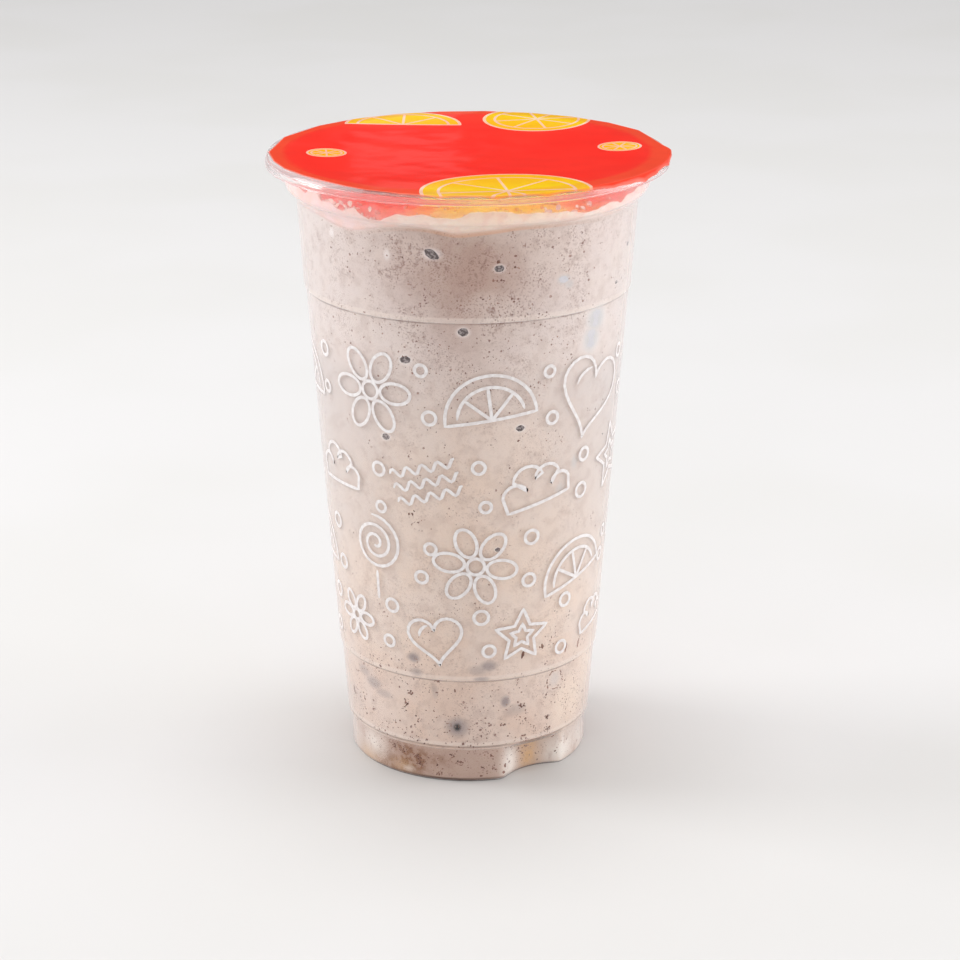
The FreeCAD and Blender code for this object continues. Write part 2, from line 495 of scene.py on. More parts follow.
# %% The cup
cup_corners = (
    [
        (0, foot_recess, 0, False),
        (foot_radius - foot_rim_width, foot_recess, 0.3, True),
        (foot_radius - foot_rim_width, 0, 0.4, True),
        (foot_radius, 0, 0.7, True),
        (foot_radius, foot_height, 0.4, True),
        (ledge_radius, foot_height, 0.45, False),
    ]
    + wall_corners(0)
    + [
        (collar_radius, cup_height - rim_thickness, 0.6, False),
        (rim_radius - lip_thickness, cup_height - rim_thickness, 0.5, False),
        (rim_radius - lip_thickness, cup_height - lip_height, 0.4, False),
        (rim_radius, cup_height - lip_height, 0.45, False),
        (rim_radius, cup_height - edge_drop, 0.8, False),
        (rim_radius - edge_slope, cup_height, 0.6, False),
        (collar_radius - wall, cup_height, 1.0, False),
    ]
    + wall_corners(wall)[::-1]
    + [
        (ledge_radius - wall, foot_height + wall, 0.35, False),
        (foot_radius - wall, foot_height + wall, 0.4, True),
        (foot_radius - wall, wall, 0.4, True),
        (groove_radius, wall, 0.4, True),
        (groove_radius, floor_top, 0.4, True),
        (0, floor_top, 0, False),
    ]
)
cup = make_piece("cup_wall", *turned(rounded(cup_corners), fluted_place), clear_plastic, "clear_plastic")
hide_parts("cup")

# %% [markdown]
# ## The drink's shape
# Where a liquid touches clear plastic there is no air between them, so no second surface may show. The
# drink's mesh therefore reaches a little way into the cup's wall, and the eye meets it straight through
# the plastic. Its top follows slow waves, higher and lower along the wall, which the froth covers.

# %% The drink's waves
into_wall = 0.14
drink_inset = wall - into_wall
swell_height, swell_length = 0.25, 31.0
swell_skews = (1 / 3, -1 / 2)
pile_turn, pile_width = -42, 18
wall_waves = [
    # turn, rise (a dip is negative), half width in degrees
    (-43, -2.2, 16),
    (-4, -1.0, 7),
    (17, 0.8, 9),
    (36, 0.4, 12),
    (70, -0.6, 12),
    (125, 0.9, 15),
    (178, -1.2, 13),
    (240, 0.8, 12),
    (290, -0.9, 9),
]
crest_waves = [
    (-84, 2.6, 26),
    (-50, 1.0, 9),
    (-26, -0.9, 14),
    (6, 1.0, 8),
    (44, -0.7, 12),
    (88, 2.8, 24),
    (170, -0.5, 14),
    (228, 0.6, 12),
]


def near_wall(x, y, power):
    """1 at the wall and less towards the axis, the faster the higher the power."""
    return min(1.0, math.hypot(x, y) / shoulder_radius) ** power


def wall_rise(waves, x, y):
    """How far the waves lift a surface at a point: most at the wall, nothing on the axis."""
    here = turn_of(x, y)
    return near_wall(x, y, 2) * sum(rise * bell(around(here, turn), width) for turn, rise, width in waves)


def swell(x, y):
    """Low cross-waves all over the drink, in millimetres."""
    turn = 2 * math.pi / swell_length
    along_x, along_y = x + swell_skews[0] * y, y + swell_skews[1] * x
    return swell_height * (math.sin(turn * along_x) + math.cos(turn * along_y))


def line_under_froth(x, y):
    """The height where the drink ends and the froth begins."""
    return froth_bottom + swell(x, y) + wall_rise(wall_waves, x, y)


def froth_surface(x, y):
    """The height of the froth's top: lumpy, and lumpiest where the foam piles up at the left."""
    here = Vector((x, y, 3.0))
    piled, edge = bell(around(turn_of(x, y), pile_turn), pile_width), near_wall(x, y, 6)
    fine_lumps = noise.noise(here * 0.7) * (0.12 + edge * (0.2 + 0.3 * piled))
    lumps = fine_lumps + noise.noise(here * 0.24) * (0.5 + edge * (0.9 + 1.4 * piled))
    return froth_top + swell(x, y) + wall_rise(crest_waves, x, y) + lumps


print("the drink ends at", round(line_under_froth(0, -collar_radius), 1), "mm at the front of the wall")

# %% Rows for a wavy top
side_steps, top_steps = 8, 28
top_wall_z = cup_height - 8


def top_rows(surface, start_z, inset):
    """Rows (kind, share) for a side that ends in a wavy top, and the function that places them."""
    side = [("side", k / side_steps) for k in range(1, side_steps + 1)]
    top = [("top", 1 - k / top_steps) for k in range(1, top_steps)] + [("top", 0)]

    def place(turn, row):
        kind, share = row
        rim_x, rim_y, _ = spot(turn, top_wall_z, inset)
        low, rim_z = start_z(turn), surface(rim_x, rim_y)
        if kind == "side":
            return spot(turn, low + share * (rim_z - low), inset)
        x, y, _ = on_round(skin_radius(turn, rim_z, inset) * share, turn, 0)
        return (x, y, surface(x, y))

    return side, top, place


print("a wavy top takes", side_steps + top_steps, "rows of points")

# %% [markdown]
# ## The drink's finish
# A blended drink scatters light, so it is matt and a little translucent. Its colour isn't even: milky
# swirls, a fine grain of biscuit dust that gathers in drifts, and soft shapes where ice or a bigger crumb
# hangs behind a thin layer of milk. Drifts and dust come from noise. The soft shapes are placed one by
# one, because their size and spacing are what the eye reads as depth. Broader changes, such as the
# darker top and the syrup that has sunk to the foot, are written on the mesh's points further down.

# %% Soft marks behind the wall
ice_shadows = [
    # turn, height, half width, half height, how strong
    (-23.9, 32.9, 1.5, 1.2, 0.75),
    (-22.8, 29.2, 1.7, 1.1, 0.45),
    (9.0, 31.6, 2.0, 1.3, 0.65),
    (4.6, 30.6, 2.4, 1.3, 0.40),
    (6.0, 28.2, 1.8, 0.6, 0.50),
    (-48.0, 22.8, 2.6, 1.5, 0.50),
    (-55.0, 24.8, 2.2, 1.4, 0.42),
    (-41.7, 20.8, 2.4, 1.2, 0.36),
    (17.2, 21.4, 1.1, 1.5, 0.75),
    (22.0, 18.8, 2.8, 1.6, 0.30),
    (-14.8, 24.4, 0.8, 2.2, 0.28),
    (110.0, 24.0, 1.7, 1.3, 0.5),
    (185.0, 31.0, 2.0, 1.2, 0.4),
    (222.0, 20.0, 1.6, 1.2, 0.4),
]
deep_crumbs = [(-4.8, 15.0, 0.85, 1.0, 1.0), (150.0, 17.0, 0.8, 0.9, 0.9)]
pale_ice = [
    # turn, height, half width, half height, how strong
    (51.5, 115.4, 3.0, 2.8, 0.9),
    (49.6, 110.8, 2.6, 3.0, 0.8),
    (34.0, 127.0, 1.7, 1.1, 0.7),
    (36.5, 125.6, 1.2, 1.0, 0.5),
    (43.0, 24.6, 1.6, 1.9, 0.35),
    (38.0, 75.0, 1.2, 1.6, 0.4),
    (45.0, 81.0, 1.0, 1.6, 0.5),
    (120.0, 100.0, 2.0, 3.2, 0.7),
    (215.0, 110.0, 1.5, 3.0, 0.7),
]
bubbles = [
    # turn, height, half width, half height, tilt
    (-11.4, 134.4, 1.75, 1.0, -28),
    (10.7, 131.1, 1.1, 0.78, 5),
    (-1.3, 116.1, 1.25, 0.95, 0),
    (-22.2, 108.7, 1.3, 0.9, 10),
    (19.7, 92.1, 1.0, 0.75, 0),
    (-31.5, 89.0, 1.0, 0.75, 5),
    (12.0, 62.0, 0.6, 0.5, 0),
]
warm_patches = [(55.0, 17.0, 7.0, 7.0, 0.7), (68.0, 24.0, 5.0, 6.0, 0.5), (235.0, 18.0, 7.0, 7.0, 0.6)]
# pale spots, laid with the bubbles' rims; the one at -50.7 degrees is a painted glint on a clear droplet
pale_spots = [(-27.0, 133.5, 0.8, 1.3, 0.6), (-50.7, 136.0, 0.9, 1.2, 0.8)]


def soft_spots(tree, place, spots):
    """How much the soft ovals cover each point, from 0 to 1."""
    ovals = []
    for turn, z, half_width, half_height, strength in spots:
        away = add(tree, "VectorMath", [place, spot(turn, z, wall)], operation="SUBTRACT").outputs[0]
        shape = (1 / half_width, 1 / half_width, 1 / half_height)
        scaled = add(tree, "VectorMath", [away, shape], operation="MULTIPLY").outputs[0]
        off = add(tree, "VectorMath", [scaled], operation="LENGTH").outputs["Value"]
        ovals.append(ranged(tree, off, 0.35, 1.5, strength, 0.0))
    return largest(tree, *ovals)


def spotted(tree, place, base):
    """A colour with the soft marks of what hangs behind the wall, and painted highlights: a pale rim round
    each bubble and large ice, and a glint on a droplet.
    """
    # painted highlights: the pale rims round bubbles and the larger ice, and the pale spots
    painted_rims = [(t, z, 1.25 * w, 1.3 * h, 0.75) for t, z, w, h, _ in bubbles] + pale_spots
    painted_rims += [(t, z, 1.35 * w, 1.25 * h, 0.6) for t, z, w, h, share in pale_ice if share > 0.75]
    crumb_haze = [(t, z, 3.0 * w, 2.5 * h, 0.7) for t, z, w, h, _ in deep_crumbs]
    for spots, shade in (
        (warm_patches, (244, 222, 202)),
        (painted_rims, (245, 238, 235)),
        (pale_ice, (204, 203, 203)),
        (ice_shadows, (136, 124, 128)),
        (crumb_haze, (136, 126, 130)),
        (deep_crumbs, (36, 30, 32)),
    ):
        base = blended(tree, soft_spots(tree, place, spots), base, colour(*shade))
    return base


print("soft marks:", len(ice_shadows), "shadows,", len(pale_ice), "of ice,", len(bubbles), "bubbles")

# %% Layers of the drink's colour
dust_grains = [
    # grain in millimetres, where it starts to show, where it shows in full, how strong
    (0.4, 0.55, 0.66, 0.75),
    (0.8, 0.60, 0.68, 0.6),
    (1.5, 0.56, 0.68, 0.45),
]
ledge_line_z = foot_height + 0.6


def drink_colour(tree, place, height):
    """The drink's colour: deeper low down, with milky clouds and swirls, painted shade high up at the front
    and back, and painted side light on the flanks.
    """
    low = ranged(tree, height, 16.0, 46.0, 1.0, 0.0)
    base = blended(tree, low, colour(236, 215, 199), colour(227, 202, 186))
    base = blended(tree, ranged(tree, height, 78.0, 116.0, 0.0, 1.0), base, colour(228, 214, 208))
    # painted shade: darker high up at the front and back, where the film and rim keep light from above off
    # the drink
    base = tinted(tree, base, noted(tree, "top_shade"), 0.84, 175, 138, 121)
    base = tinted(tree, base, cloud(tree, place, 12.0, 3.0, 0.40, 0.64), 0.4, 228, 213, 204)
    # painted shade: at mid height the lit flanks are toned greyer, to temper the side lamps' light there
    sides = times(tree, noted(tree, "lit_flank"), band(tree, height, 26.0, 99.0, 12.0))
    base = tinted(tree, base, sides, 0.7, 208, 198, 195)
    return tinted(tree, base, cloud(tree, place, 3.2, 3.0, 0.46, 0.68), 0.22, 176, 148, 136)


def dusted(tree, place, height, drifts, base):
    """A colour with biscuit dust over it, thickest in the drifts and high up, and thinned on the lit flanks
    so that they are painted paler.
    """
    high = ranged(tree, height, 96.0, 126.0, 0.22, 0.85)
    gathered = times(tree, ranged(tree, drifts, 0, 1, 0.2, 1.0), high)
    # painted light: less dust on the lit flanks makes them paler where the side lamps fall
    gathered = times(tree, gathered, ranged(tree, noted(tree, "lit_flank"), 0, 1, 1.0, 0.4))
    for grain, start, full, strength in dust_grains:
        dust = ranged(tree, speckled(tree, place, grain, 1.0, 0.5), start, full, 0.0, strength)
        base = tinted(tree, base, dust, gathered, 140, 103, 92)
    return base


def ridged(tree, height, drifts, base):
    """A colour with painted light at the wall's steps and the ledge: a pale highlight band above, and a dark
    line of shade and gathered dust below.
    """
    for ridge_z in (upper_ridge_z, lower_ridge_z, ledge_line_z):
        # painted highlight: a pale band just above each step and the ledge
        pale = band(tree, height, ridge_z + 0.35, ridge_z + 1.1, 0.5)
        base = tinted(tree, base, pale, 0.45, 240, 226, 216)
        # painted shade under each step and the ledge, partly dust that gathers there, deeper in the drifts
        dark = band(tree, height, ridge_z - 0.28, ridge_z + 0.06, 0.25)
        base = tinted(tree, base, dark, ranged(tree, drifts, 0, 1, 0.25, 0.55), 126, 98, 88)
    return base


def settled(tree, place, height, base):
    """A colour with the foot darker, syrup, amber, pale streaks of milk and painted highlight, and a painted
    contact shadow.
    """
    base = tinted(tree, base, band(tree, height, -1.0, foot_height - 0.6, 0.5), 0.75, 182, 151, 136)
    speckle = cloud(tree, place, 1.5, 4.0, 0.40, 0.60)
    base = tinted(tree, base, noted(tree, "syrup"), ranged(tree, speckle, 0, 1, 0.45, 1.0), 142, 98, 70)
    base = tinted(tree, base, noted(tree, "amber"), ranged(tree, speckle, 0, 1, 0.75, 1.0), 218, 176, 128)
    streak = add(tree, "Mapping", [place, None, None, (1.0, 1.0, 0.55)]).outputs[0]
    # pale streaks, partly milk and partly painted highlight on the foot's left side and the flute's lips
    base = tinted(tree, base, noted(tree, "milk"), cloud(tree, streak, 2.2, 2.0, 0.10, 0.52), 246, 237, 228)
    # painted contact shadow along the foot's bottom edge
    return tinted(tree, base, noted(tree, "shade"), band(tree, height, -1.0, 0.7, 0.5), 96, 66, 52)


print("dust in", len(dust_grains), "grains; lines at", (upper_ridge_z, lower_ridge_z, ledge_line_z), "mm")

# %% The drink's finish


def froth_colour(tree):
    """The froth's colour: cream, with painted film light on it: red-pink under the red film and yellow under
    the fruit.
    """
    cream = blended(tree, noted(tree, "red_film_light"), colour(255, 236, 226), colour(255, 220, 217))
    return blended(tree, noted(tree, "yellow_film_light"), cream, colour(255, 228, 210))


def smoothie_finish():
    """The drink: matt and a little translucent, clearing into the froth over the line between them."""
    finish, tree, out, place = new_finish("smoothie")
    height = add(tree, "SeparateXYZ", [place]).outputs[2]
    drifts = cloud(tree, place, 9.0, 4.0, 0.40, 0.62)
    base = dusted(tree, place, height, drifts, drink_colour(tree, place, height))
    base = settled(tree, place, height, ridged(tree, height, drifts, base))
    base = spotted(tree, place, base)
    over = noted(tree, "over_line")
    # painted yellow film light on the drink just under the froth line
    film_lit_edge = times(tree, noted(tree, "yellow_film_light"), band(tree, over, -1.0, 0.0, 0.5))
    base = tinted(tree, base, film_lit_edge, 0.5, 230, 168, 124)
    base = blended(tree, ranged(tree, over, -0.9, 0.9, 0.0, 1.0), base, froth_colour(tree))
    surface = shader(
        tree,
        Base_Color=base,
        Roughness=0.6,
        Specular_IOR_Level=0.0,
        Subsurface_Weight=0.2,
        Subsurface_Radius=(1.0, 0.75, 0.6),
        Subsurface_Scale=0.0008,
        Coat_Weight=0.6,
        Coat_Roughness=0.33,
    )
    finished(tree, out, surface)
    return finish


drink_finish = smoothie_finish()
print("the drink's finish has", len(drink_finish.node_tree.nodes), "nodes")

# %% [markdown]
# ## Marks on the drink's mesh
# Some marks follow the cup rather than chance: syrup sinks into the foot and milk runs down beside it, though
# at the front some pale streaks there are painted highlights on the foot's flanks, and a painted contact
# shadow runs along the bottom edge. High up at the front and the back the drink carries painted shade, where
# the film and rim keep light from above off it, and its flanks are painted to match the side lamps' light.
# Painting an image would need unwrapping. It is simpler to write a number on every point of the mesh, which
# the finish reads by its name.

# %% Marks written on the points
foot_patches = {
    # turn, height, half width in degrees, half height, strength
    # a painted contact shadow along the bottom edge at the front and the back
    "shade": [(-8, 0.0, 26, 6.0, 1.0), (172, 0.0, 26, 6.0, 1.0)],
    "syrup": [
        (-42, 2.0, 12, 3.0, 0.9),
        (-30, 3.0, 8, 3.0, 0.9),
        (-32, 7.0, 9, 1.6, 0.9),
        (-24, 4.6, 5, 2.2, 1.0),
        (-14, 5.6, 7, 1.6, 0.6),
        (36, 8.0, 8, 1.2, 0.75),
        (130, 3.0, 14, 3.0, 0.8),
        (232, 4.0, 12, 3.0, 0.8),
    ],
    "amber": [
        (-58, 1.5, 9, 2.2, 0.6),
        (-34, 2.2, 6, 1.8, 0.5),
        (35.5, 4.0, 6.5, 5.0, 1.0),
        (150, 4.0, 9, 4.0, 0.9),
        (214, 4.0, 7, 5.0, 0.9),
    ],
    # pale streaks: milk, and at the front painted highlights where the foot's left side and the flute's lips
    # catch the lamps
    "milk": [
        (-53, 5.5, 9, 3.4, 0.75),
        (22, 3.5, 5.5, 4.5, 1.0),
        (52, 3.5, 9, 5.0, 0.95),
        (72, 4.0, 12, 5.0, 0.6),
        (-30, 1.6, 3, 0.7, 0.5),
        (-75, 4.0, 10, 5.0, 0.5),
        (190, 4.0, 12, 4.0, 0.8),
        (238, 4.0, 9, 4.0, 0.8),
    ],
}
# painted light that comes through the film onto the froth: red-pink under the red film, yellow under the
# fruit
froth_film_light = {
    # turn, half width in degrees, strength
    "red_film_light": [(-50, 28, 1.0), (80, 26, 0.7)],
    "yellow_film_light": [(8, 30, 1.0), (168, 30, 1.0)],
}


def foot_patch(kind, x, y, z):
    """How much painted shadow, syrup, amber or pale streak (milk and painted highlight) shows at a point of
    the foot, from 0 to 1.
    """
    if z > foot_height + wall:
        return 0.0
    here, total = turn_of(x, y), 0.0
    for turn, middle_z, half_width, half_height, strength in foot_patches[kind]:
        total += strength * bell(around(here, turn), half_width) * bell(z - middle_z, half_height)
    return min(1.0, total)


def top_shade(x, y, z):
    """How much painted shade darkens the drink high up at the front and back, where film and rim keep light
    off.
    """
    turn = turn_of(x, y)
    rise = 0.14 + 0.86 * clamped((z - 98) / 30)
    half_width = 14 + 13 * clamped((z - 108) / 22)
    return rise * (bell(around(turn, 0), half_width) + 0.8 * bell(around(turn, 175), 40))


def lit_flank(turn, z):
    """1 on the lit flanks, high up at the left and right, and 0 at the front, the back and below; there the
    drink's colour is painted to match the side lamps' light.
    """
    facing = max(bell(around(turn, 2), 38), bell(around(turn, 180), 60))
    return (1 - facing) / (1 + math.exp((60 - z) / 8))


def tint_froth(piece, points):
    """Notes how much painted red and yellow film light the froth takes."""
    turns = [turn_of(x, y) for x, y, z in points]
    for tint, humps in froth_film_light.items():
        note(piece, tint, [sum(s * bell(around(turn, t), w) for t, w, s in humps) for turn in turns])


print("patches in the foot:", {kind: len(patches) for kind, patches in foot_patches.items()})

# %% [markdown]
# ## The drink's mesh
# The drink is one closed body: a floor, the groove of the hollow foot, the wall with its steps, and the
# wavy top. The foot and the wall are turned from an outline. Its rows are set closer together where they
# are far apart, because a mark can only be as fine as the points that carry it.

# %% Build the drink
into_foot, row_gap = 0.4, 1.2
side_start_z = 136.0
foot_inside = foot_radius - wall + into_foot
groove_inside = groove_radius - into_wall
inner_side = rounded(
    [
        (0, floor_top - into_wall, 0, False),
        (groove_inside, floor_top - into_wall, 0.3, True),
        (groove_inside, wall - into_foot, 0.3, True),
        (foot_inside, wall - into_foot, 0.4, True),
        (foot_inside, foot_height + wall, 0.3, True),
        (ledge_radius - drink_inset, foot_height + wall, 0.35, False),
    ]
    + wall_corners(drink_inset)[:4]
    + [(skin_radius(90, side_start_z, drink_inset), side_start_z, 0, False)]
)
side, top, drink_place = top_rows(line_under_froth, lambda turn: side_start_z, drink_inset)


def closer_rows(rows):
    """The same rows with others between them, so that none are more than row_gap apart in height."""
    filled = [rows[0]]
    for (r0, z0, _), (r1, z1, fluted) in zip(rows, rows[1:]):
        parts = max(1, math.ceil(abs(z1 - z0) / row_gap))
        for k in range(1, parts + 1):
            filled.append((r0 + (r1 - r0) * k / parts, z0 + (z1 - z0) * k / parts, fluted))
    return filled


def drink_point(turn, row):
    """Where a row of the drink lies at a turn: in its wavy top, or on its outline."""
    return drink_place(turn, row) if isinstance(row[0], str) else fluted_place(turn, row)


points, faces = turned(closer_rows(inner_side) + side + top, drink_point)
drink = make_piece("smoothie_body", points, faces, drink_finish, "smoothie")
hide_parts("smoothie")
for kind in foot_patches:
    note(drink, kind, [foot_patch(kind, *p) for p in points])
note(drink, "top_shade", [top_shade(*p) for p in points])
note(drink, "lit_flank", [lit_flank(turn_of(x, y), z) for x, y, z in points])
far_under = -9.0
over_line = [z - line_under_froth(x, y) if z > side_start_z - 2 else far_under for x, y, z in points]
note(drink, "over_line", over_line)
tint_froth(drink, points)

# %% [markdown]
# ## The froth
# Blending whips air into the drink, and a pale layer a few millimetres deep settles on top. Its lower
# edge isn't a line: the milk clears into it over nearly two millimetres. Each point of both pieces
# carries how far it lies over that edge, and both finishes fade by that number, so no seam shows.

# %% The froth's finish


def froth_finish():
    """The froth: painted shade in its pits, rosy in patches, with a few specks of biscuit."""
    finish, tree, out, place = new_finish("froth")
    uneven = ranged(tree, cloud(tree, place, 4.0), 0, 1, -0.15, 0.15)
    over = maths(tree, "ADD", noted(tree, "over_line"), uneven)
    in_froth = ranged(tree, over, -0.9, 0.9, 0.0, 1.0)
    base = blended(tree, in_froth, colour(212, 184, 170), froth_colour(tree))
    base = tinted(tree, base, cloud(tree, place, 3.5, 3.0, 0.42, 0.62), 0.4, 246, 200, 184)
    cells = add(tree, "TexVoronoi", [place, None, 1 / 1.1], feature="F1").outputs["Distance"]
    lumps = speckled(tree, place, 2.4, 3.0)
    # painted shade: the middles of the foam's cells are darker, as shade in pits
    pit_shade = ranged(tree, cells, 0.1, 0.45, 0.35, 0.0)
    base = tinted(tree, base, pit_shade, ranged(tree, lumps, 0.45, 0.6, 0, 1), 226, 196, 180)
    specks = ranged(tree, speckled(tree, place, 0.45, 2.0, 0.7), 0.66, 0.76, 0.0, 0.45)
    base = blended(tree, specks, base, colour(150, 118, 104))
    surface = shader(
        tree,
        Base_Color=base,
        Roughness=0.55,
        Specular_IOR_Level=0.15,
        Subsurface_Weight=0.35,
        Subsurface_Radius=(1.0, 0.7, 0.5),
        Subsurface_Scale=0.0015,
        Normal=bump(tree, lumps, 0.5, 0.6),
    )
    finished(tree, out, surface)
    return finish


milky_froth = froth_finish()
print("the froth's finish has", len(milky_froth.node_tree.nodes), "nodes")

# %% Build the froth


def froth_start(turn):
    """The height of the froth's lower edge at the wall."""
    x, y, _ = on_round(collar_radius - wall, turn, 0)
    return line_under_froth(x, y)


side, top, froth_place = top_rows(froth_surface, froth_start, drink_inset)
under = [("under", k / 12) for k in range(0, 13)]


def froth_point(turn, row):
    """Where a row of the froth lies at a turn: on its underside, or on its side and top."""
    kind, share = row
    if kind != "under":
        return froth_place(turn, row)
    edge_z = froth_start(turn)
    x, y, _ = on_round(skin_radius(turn, edge_z, drink_inset) * share, turn, 0)
    return (x, y, line_under_froth(x, y) if share < 1 else edge_z)


points, faces = turned(under + side + top, froth_point)
froth = make_piece("froth_layer", points, faces, milky_froth, "froth")
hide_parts("froth")
note(froth, "over_line", [z - line_under_froth(x, y) for x, y, z in points])
tint_froth(froth, points)

# %% [markdown]
# ## The sealing film
# The film is a disc of thin plastic, melted onto the flat rim and cut off round it by the sealing
# machine. Inside the rim it sags; it was cut a little off centre, so on one side it hangs over the lip.
# It is printed in translucent inks: daylight goes through them and colours everything underneath. A
# translucent shader does that, mixed into a glossy one, and the print is drawn in the nodes from the
# distance to each fruit slice's middle, which stays crisp at any size.

# %% The film's print
fruit_slices = [
    # x, y, radius, first spoke, whether the whole slice shows or only its far half
    (9.0, -43.0, 19.0, 0.25, True),
    (-16.0, 31.0, 14.0, 0.4, False),
    (17.0, 37.0, 13.0, 0.2, True),
    (-33.0, -2.0, 4.5, 0.3, True),
    (36.0, 5.0, 5.0, 0.0, True),
]
segments = 8


def slice_masks(tree, place, x, y, radius, first, whole):
    """Where a slice is filled with colour and where its white lines run, each 0 or 1."""
    away = add(tree, "VectorMath", [place, (x, y, 0)], operation="SUBTRACT").outputs[0]
    parts = add(tree, "SeparateXYZ", [away]).outputs
    off = away_from_axis(tree, away)
    turn = maths(tree, "ARCTAN2", parts[1], parts[0])
    half_step = math.pi / segments
    fold = maths(tree, "PINGPONG", maths(tree, "ADD", turn, first), half_step)
    from_spoke = times(tree, maths(tree, "SUBTRACT", half_step, fold), off)
    line, flesh = 0.32 if radius > 7 else 0.22, radius * 0.8
    spokes = maths(tree, "LESS_THAN", from_spoke, line)
    spokes = times(tree, spokes, maths(tree, "LESS_THAN", off, flesh))
    rims = [near(tree, off, flesh, line), near(tree, off, radius, line * 1.2)]
    inside, lines = maths(tree, "LESS_THAN", off, radius), largest(tree, spokes, *rims)
    if not whole:
        kept = maths(tree, "GREATER_THAN", parts[1], 0.0)
        edge = near(tree, parts[1], 0.0, line * 1.2)
        edge = times(tree, edge, maths(tree, "LESS_THAN", off, radius + line))
        inside, lines = times(tree, inside, kept), largest(tree, times(tree, lines, kept), edge)
    return inside, lines


print("the film's print has", len(fruit_slices), "slices of", segments, "segments")

# %% The film's finish


def film_finish():
    """The film: translucent red and yellow inks under a gloss, paler where it is cut, and paler on the seal
    ring, partly the flange under it and partly painted sheen.
    """
    finish, tree, out, place = new_finish("film")
    base = blended(tree, cloud(tree, place, 22.0, 1.0), colour(255, 62, 44), colour(254, 54, 38))
    for fruit in fruit_slices:
        inside, lines = slice_masks(tree, place, *fruit)
        base = blended(tree, inside, base, colour(255, 226, 4))
        base = blended(tree, lines, base, colour(255, 238, 214))
    # paler on the seal ring: partly the flange under the film, partly a painted sheen
    base = tinted(tree, base, noted(tree, "seal_sheen"), 0.3, 253, 118, 62)
    base = tinted(tree, base, noted(tree, "cut_edge"), 0.6, 255, 176, 152)
    printed = shader(
        tree,
        Base_Color=base,
        Roughness=0.13,
        IOR=1.5,
        Specular_IOR_Level=0.3,
        Normal=bump(tree, speckled(tree, place, 13.0, 1.0), 0.5, 0.8),
    )
    finished(tree, out, mixed(tree, 0.53, printed, add(tree, "BsdfTranslucent", [base])))
    return finish


printed_film = film_finish()
film_underside = see_through("film_underside", 1.1, 0.1, 0.02, 0.04, 0.05)
print("the film's finish has", len(printed_film.node_tree.nodes), "nodes")

# %% [markdown]
# ## The film's cut edge
# The machine cuts the film in short straight runs, so its edge is a polygon with uneven corners. Each
# corner has a turn, a distance from the cup's axis and how far the edge hangs down there. The film is
# turned like the cup, but each column ends at its own place on the polygon.

# %% The film's cut edge
film_cuts = [
    # turn, distance from the cup's axis, how far the edge hangs down over the lip
    (-28.0, 47.1, 0.0),
    (-18.0, 47.6, 0.3),
    (-7.0, 47.85, 0.8),
    (8.0, 47.95, 0.9),
    (22.0, 48.0, 0.9),
    (34.0, 47.9, 0.9),
    (43.0, 48.0, 1.1),
    (50.0, 47.9, 1.6),
    (57.0, 48.02, 1.8),
    (64.0, 47.9, 1.6),
    (76.0, 48.0, 1.2),
    (86.0, 47.9, 0.8),
    (91.3, 48.0, 0.3),
    (96.0, 46.8, 0.0),
    (107.9, 46.3, 0.0),
    (119.0, 47.5, 0.1),
    (133.0, 47.4, 0.0),
    (147.0, 47.4, 0.0),
    (161.0, 47.1, 0.0),
    (175.0, 47.0, 0.0),
    (189.0, 46.7, 0.0),
    (203.0, 46.6, 0.0),
    (217.0, 46.4, 0.0),
    (232.0, 46.3, 0.0),
    (251.4, 46.5, 0.0),
    (262.6, 45.7, 0.0),
    (272.8, 46.6, 0.0),
    (285.0, 46.2, 0.0),
    (295.2, 46.1, 0.0),
    (306.1, 45.65, 0.0),
    (315.8, 45.65, 0.0),
    (324.6, 46.4, 0.0),
]


def film_edge(turn):
    """The radius of the film's cut edge at a turn, and how far it hangs down there."""
    turn = (turn - film_cuts[0][0]) % 360 + film_cuts[0][0]
    ends = film_cuts + [(film_cuts[0][0] + 360, *film_cuts[0][1:])]
    for (t0, r0, d0), (t1, r1, d1) in zip(ends, ends[1:]):
        if t0 <= turn <= t1:
            span, part = math.radians(t1 - t0), math.radians(turn - t0)
            straight = r0 * r1 * math.sin(span) / (r0 * math.sin(part) + r1 * math.sin(span - part))
            return straight, d0 + (d1 - d0) * part / span
    return film_cuts[0][1:]


print("the film's edge has", len(film_cuts), "corners; its front is", round(film_edge(0)[0], 2), "mm out")

# %% Build the film
film_thickness, film_sag = 0.12, 0.85
film_z = cup_height + 0.01
hang_from, hang_over = 47.2, 0.85
seal_from, seal_over = collar_radius - 0.1, 0.7
film_columns, film_rows = 480, 34
film_shares = [k / film_rows for k in range(film_rows - 1)]
film_shares += [0.953, 0.966, 0.977, 0.984, 0.988, 0.992, 0.996, 1.0]


def film_height(x, y, hang):
    """The height of the film's lower face."""
    r = math.hypot(x, y)
    z = film_z
    if r < collar_radius:
        share = r / collar_radius
        crease = noise.noise(Vector((x * 0.05, y * 0.05, 5.0))) * 0.5 * (1 - share**4)
        z -= film_sag * (1 - share**2) ** 1.3 + 0.3 * crease
    return z - hang * clamped((r - hang_from) / hang_over) ** 1.6


def film_point(turn, row):
    """A point of the film: row is the share out to the edge and how far up through the film."""
    share, up = row
    edge, hang = film_edge(turn)
    x, y, _ = on_round(edge * share, turn, 0)
    return (x, y, film_height(x, y, hang) + up * film_thickness)


rows = [(share, 0.0) for share in film_shares] + [(share, 1.0) for share in film_shares[::-1]]
points, faces = turned(rows, film_point, film_columns)
film = make_piece("film_lid", points, faces, printed_film, "film")
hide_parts("film")
film.data.materials.append(film_underside)
for face in film.data.polygons:
    face.material_index = 1 if face.normal.z < -0.7 else 0

# %% Marks on the film and the rim


